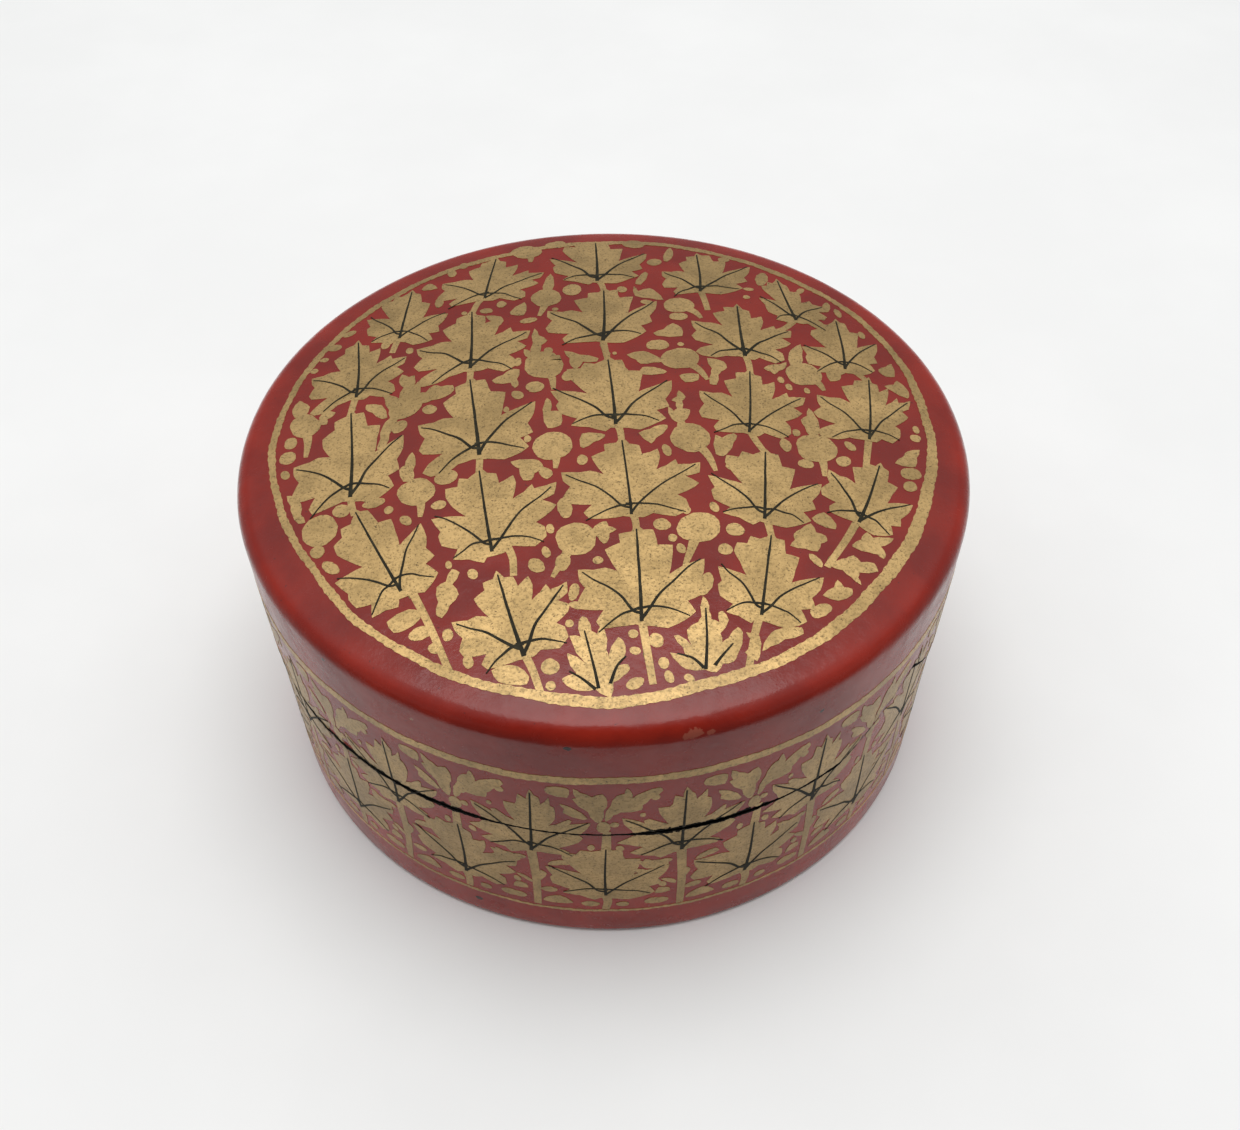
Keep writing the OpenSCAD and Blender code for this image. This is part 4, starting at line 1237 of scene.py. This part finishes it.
class GILTBOX_OT_gold_lines(bpy.types.Operator):
    """Paints the ring on the top and the lines on the lid's side and above the foot"""
    bl_idname = "giltbox.gold_lines"
    bl_label = "Gold Ring and Lines"

    def execute(self, context):
        form = shape()
        s = sizes()
        lift = s.gilt / MM

        def top(theta, r):
            a = math.radians(theta)
            return on_top(r * math.sin(a), -r * math.cos(a), lift, form)

        def wander(theta, side):
            a = math.radians(theta)
            both = 0.12 * math.sin(3 * a + 1) + 0.1 * math.sin(7 * a)
            own = 0.08 * math.sin(17 * a + 2 * side) + 0.06 * math.sin(41 * a + side)
            own += 0.05 * math.sin(133 * a + 3 * side) * math.sin(29 * a)
            return both + side * (own + 0.06 * math.sin(211 * a + side))

        def ring_wander(theta, side):
            for before, after in zip(RING_WANDER, RING_WANDER[1:]):
                if theta <= after[0]:
                    break
            share = smooth(before[0], after[0], theta)
            middle = before[1] + (after[1] - before[1]) * share
            wide = before[2] + (after[2] - before[2]) * share - s.ring_width / MM
            return middle - 0.1 + side * wide / 2 + wander(theta, side)

        ring, half = s.ring_radius / MM, s.ring_width / MM / 2
        obj = painted_line("top_gold_ring", ring - half, ring + half, top, ring_wander)
        gold = kept("gold_paint", gold_paint, None)
        give(obj, gold, "lid", "gilt", "lid_top_ring")

        # A line on the side is drawn as a ring whose radius is its height and a flat 100 mm
        flat = 100
        lines = ((s.side_line / MM, 0.75, "lid_side_line"), (s.foot_line / MM, 0.28, "base_foot_line"))
        for (body, lid), (middle, half, node) in zip(BODIES, lines):
            def side(theta, r, lid=lid):
                along = math.radians(theta) * form["base_r"]
                return on_side(along, r - flat, lift, form, lid)

            name = body + "_gold_line"
            line = painted_line(name, flat + middle - half, flat + middle + half, side, wander)
            give(line, gold, body, "gilt", node)
        return {"FINISHED"}


class GILTBOX_OT_top_pattern(bpy.types.Operator):
    """Paints the leaves, stems and buds on the top"""
    bl_idname = "giltbox.top_pattern"
    bl_label = "Leaves and Buds on the Top"

    def execute(self, context):
        form = shape()
        lift = sizes().gilt / MM
        hand = random.Random(choices().seed)
        gold = kept("gold_paint", gold_paint, None)
        grid = [((1, 0, 0), -50, 50, 4), ((0, 1, 0), -50, 52, 4)]
        shapes, veins = [], []
        for base, tip, left, right, kind in TOP_LEAVES:
            thick = lift * hand.uniform(0.95, 1.25)
            shapes.append((leaf(base, tip, left, right, kind, hand), thick))
            for vein in leaf_veins(base, tip, left, right, kind, hand):
                veins.append((vein, vein_lift(lift, len(veins) % 5)))
        for line in NARROW_VEINS:
            veins.append((stroke(line, 0.5, 0.2), vein_lift(lift)))
        for line in TOP_STEMS:
            shapes.append((stroke(line, 1.15, 0.95), lift * hand.uniform(0.7, 0.9)))
        leaves = lay_on_top(draw_flat("top_gold_leaves", shapes, grid), form, GOLD_DEPTH)
        give(leaves, gold, "lid", "gilt", "lid_top_leaves")
        ink_lines = lay_on_top(draw_flat("top_ink_veins", veins, grid), form, INK_DEPTH)
        give(ink_lines, kept("ink", ink), "lid", None)

        shapes = []
        for x, y, wide, high, tail in TOP_BUDS:
            shapes.append((pebble(x, y, 2 * wide, 2 * high, hand.uniform(0, 40), hand), lift))
            bend = (x * 0.4 + tail[0] * 0.6 + 0.3, y * 0.5 + tail[1] * 0.5)
            shapes.append((stroke([(x, y), bend, tail], 1.9, 0.6), lift * 0.8))
        for patch in TOP_PATCHES:
            outline = bowed(shaken(patch, hand, 0.08 * choices().unevenness), 0.08)
            shapes.append((outline, lift * hand.uniform(0.85, 1.15)))
        for spot in TOP_PEBBLES:
            shapes.append((pebble(*spot, hand), lift * hand.uniform(0.85, 1.15)))
        fills = lay_on_top(draw_flat("top_gold_fills", shapes, grid), form, GOLD_DEPTH)
        give(fills, gold, "lid", "gilt")
        return {"FINISHED"}


class GILTBOX_OT_side_pattern(bpy.types.Operator):
    """Paints the two rows of leaves around the side, across the seam"""
    bl_idname = "giltbox.side_pattern"
    bl_label = "Leaves on the Side"

    def execute(self, context):
        form = shape()
        lift = sizes().gilt / MM
        hand = random.Random(choices().seed + 1)
        mm = math.radians(1) * form["base_r"]
        count = choices().leaves_around
        step = 360 / count
        grid = [((1, 0, 0), -200 * mm, 200 * mm, 2)]
        shapes, veins = [], []
        for i in range(count):
            upper = (SIDE_AT + step * (i - count // 2)) * mm
            lower = upper + step * mm / 2
            for row, x, z, high in ((0, upper, 23.6, 16.6), (1, lower, 11.9, 14.3)):
                x += hand.uniform(-0.3, 0.3)
                z += hand.uniform(-0.4, 0.4)
                base, tip = (x, z), (x + hand.uniform(-0.4, 0.8), z + high)
                wide = 8.4 if row == 0 else 8.8
                left = (x - wide + hand.uniform(-0.4, 0.4), z + high * (0.63 if row == 0 else 0.53))
                right = (x + wide + hand.uniform(-0.4, 0.8), z + high * 0.56)
                kind = (2, 2) if row == 0 else (hand.randrange(2), hand.randrange(2))
                outline = leaf(base, tip, left, right, kind, hand)
                shapes.append((outline, lift * hand.uniform(0.95, 1.25)))
                for vein in leaf_veins(base, tip, left, right, kind, hand):
                    veins.append((vein, vein_lift(lift, len(veins) % 5)))
                foot = (x + hand.uniform(-0.3, 0.3), 7.6)
                shapes.append((stroke([base, (x + 0.3, z / 2 + 4), foot], 1.5, 1.1), lift * 0.8))
                if row:
                    up = [(tip[0], tip[1] - 1.5), (tip[0] + 0.2, 30.6)]
                    shapes.append((stroke(up, 1.5, 1.1), lift * 0.75))
            for patch in SIDE_PATCHES:
                dx, dz = hand.uniform(-0.2, 0.2), hand.uniform(-0.15, 0.15)
                moved = [(upper + (px - SIDE_AT) * mm + dx, pz + dz) for px, pz in patch]
                shapes.append((bowed(shaken(moved, hand, 0.08), 0.08), lift * hand.uniform(0.85, 1.15)))
            for px, pz, wide, high, tilt in SIDE_PEBBLES:
                x = upper + (px - SIDE_AT) * mm + hand.uniform(-0.2, 0.2)
                shapes.append((pebble(x, pz, wide, high, tilt, hand), lift * hand.uniform(0.85, 1.15)))
        flat = draw_flat("side_gold", shapes, grid)
        gold = split_at_seam(flat, form, "lid_gold_leaves", "base_gold_leaves")
        flat = draw_flat("side_ink", veins, grid)
        ink_lines = split_at_seam(flat, form, "lid_ink_veins", "base_ink_veins")
        for obj, (body, lid) in zip(gold, BODIES):
            wrap_on_side(obj, form, lid, GOLD_DEPTH)
            node = "lid_side_leaves" if lid else "base_leaves"
            give(obj, kept(body + "_side_gold", gold_paint, lid), body, "gilt", node)
        for obj, (body, lid) in zip(ink_lines, BODIES):
            wrap_on_side(obj, form, lid, INK_DEPTH)
            give(obj, kept("ink", ink), body, None)
        return {"FINISHED"}


# The lamp, and the camera of the near view, in metres, degrees and millimetres of film
LAMP_PLACE = (0, 0.05, 1)
LAMP_SIZE = 0.8
LAMP_POWER = 4.8
CAMERA_PLACE = (0, -0.15054, 0.18906)
CAMERA_TILT = 38.525
CAMERA_ROLL = -0.94
CAMERA_LENS = 38.24
CAMERA_SENSOR = 36
CAMERA_SHIFT = (0.0106, 0.0754)
CAMERA_NEAR = 0.005


class GILTBOX_OT_stage(bpy.types.Operator):
    """Sets up the pale floor, the soft room, the lamp and the camera"""
    bl_idname = "giltbox.stage"
    bl_label = "Studio Stage"

    def execute(self, context):
        only(None)
        bpy.ops.mesh.primitive_plane_add(size=6, location=(0, 0, 0))
        floor = name_piece("studio_floor")
        floor.data.materials.append(kept("studio_floor", studio_floor))

        scene = context.scene
        scene.view_settings.view_transform = "Standard"
        world = bpy.data.worlds.new("soft_room")
        scene.world = world
        world.use_nodes = True
        # The room is brighter above and behind, and darker where the viewer stands
        room = Tree(world.node_tree)
        way = room.nodes.new("ShaderNodeTexCoord").outputs["Generated"]
        _, y, z = room.axes(way)
        both = room.math("MULTIPLY", room.span(z, 0.35, 0.85), room.span(y, -1, 0.3))
        level = room.math("MULTIPLY_ADD", both, 0.7, 0.4)
        toward = room.nodes.new("ShaderNodeVectorMath")
        toward.operation = "DOT_PRODUCT"
        room.put(toward.inputs[0], way)
        room.put(toward.inputs[1], (0, -0.93, 0.37))
        viewer = room.span(toward.outputs["Value"], 0.72, 0.9, 1, 0.35)
        back = room.nodes["Background"]
        room.put(back.inputs["Strength"], room.math("MULTIPLY", level, viewer))
        room.put(back.inputs["Color"], (0.98, 0.99, 1))

        bpy.ops.object.light_add(type="AREA", location=LAMP_PLACE)
        lamp = context.object
        lamp.name = "overhead_lamp"
        lamp.data.shape = "DISK"
        lamp.data.size = LAMP_SIZE
        lamp.data.energy = LAMP_POWER

        bpy.ops.object.camera_add(location=CAMERA_PLACE)
        camera = context.object
        camera.name = "photo_camera"
        camera.rotation_mode = "XYZ"
        tilt, roll = math.radians(CAMERA_TILT), math.radians(CAMERA_ROLL)
        turn = Matrix.Rotation(tilt, 3, "X") @ Matrix.Rotation(roll, 3, "Z")
        camera.rotation_euler = turn.to_euler("XYZ")
        camera.data.sensor_width = CAMERA_SENSOR
        camera.data.lens = CAMERA_LENS
        camera.data.shift_x, camera.data.shift_y = CAMERA_SHIFT
        camera.data.clip_start = CAMERA_NEAR
        scene.camera = camera
        return {"FINISHED"}


STEPS = [
    ("paper", GILTBOX_OT_paper),
    ("red_coats", GILTBOX_OT_red_coats),
    ("gold_lines", GILTBOX_OT_gold_lines),
    ("top_pattern", GILTBOX_OT_top_pattern),
    ("side_pattern", GILTBOX_OT_side_pattern),
    ("stage", GILTBOX_OT_stage),
]


class GILTBOX_PT_panel(bpy.types.Panel):
    """Lists the sizes, the colours and the making of each piece"""
    bl_label = "Gilt Leaf Box"
    bl_idname = "GILTBOX_PT_panel"
    bl_space_type = "VIEW_3D"
    bl_region_type = "UI"
    bl_category = "Papier Mache"

    def draw(self, context):
        layout = self.layout
        for group in (sizes(), colours(), choices()):
            box = layout.box()
            for key in group.__annotations__:
                box.prop(group, key)
        for step, _ in STEPS:
            layout.operator("giltbox." + step)


CLASSES = [BoxSizes, BoxColours, PatternChoices, GILTBOX_PT_panel] + [c for _, c in STEPS]


def register():
    for cls in CLASSES:
        bpy.utils.register_class(cls)
    bpy.types.Scene.gilt_box_sizes = PointerProperty(type=BoxSizes)
    bpy.types.Scene.gilt_box_colours = PointerProperty(type=BoxColours)
    bpy.types.Scene.gilt_box_pattern = PointerProperty(type=PatternChoices)


def unregister():
    del bpy.types.Scene.gilt_box_sizes
    del bpy.types.Scene.gilt_box_colours
    del bpy.types.Scene.gilt_box_pattern
    for cls in reversed(CLASSES):
        bpy.utils.unregister_class(cls)


def main():
    register()
    for step, _ in STEPS:
        getattr(bpy.ops.giltbox, step)()
    only(None)


if __name__ == "__main__":
    main()
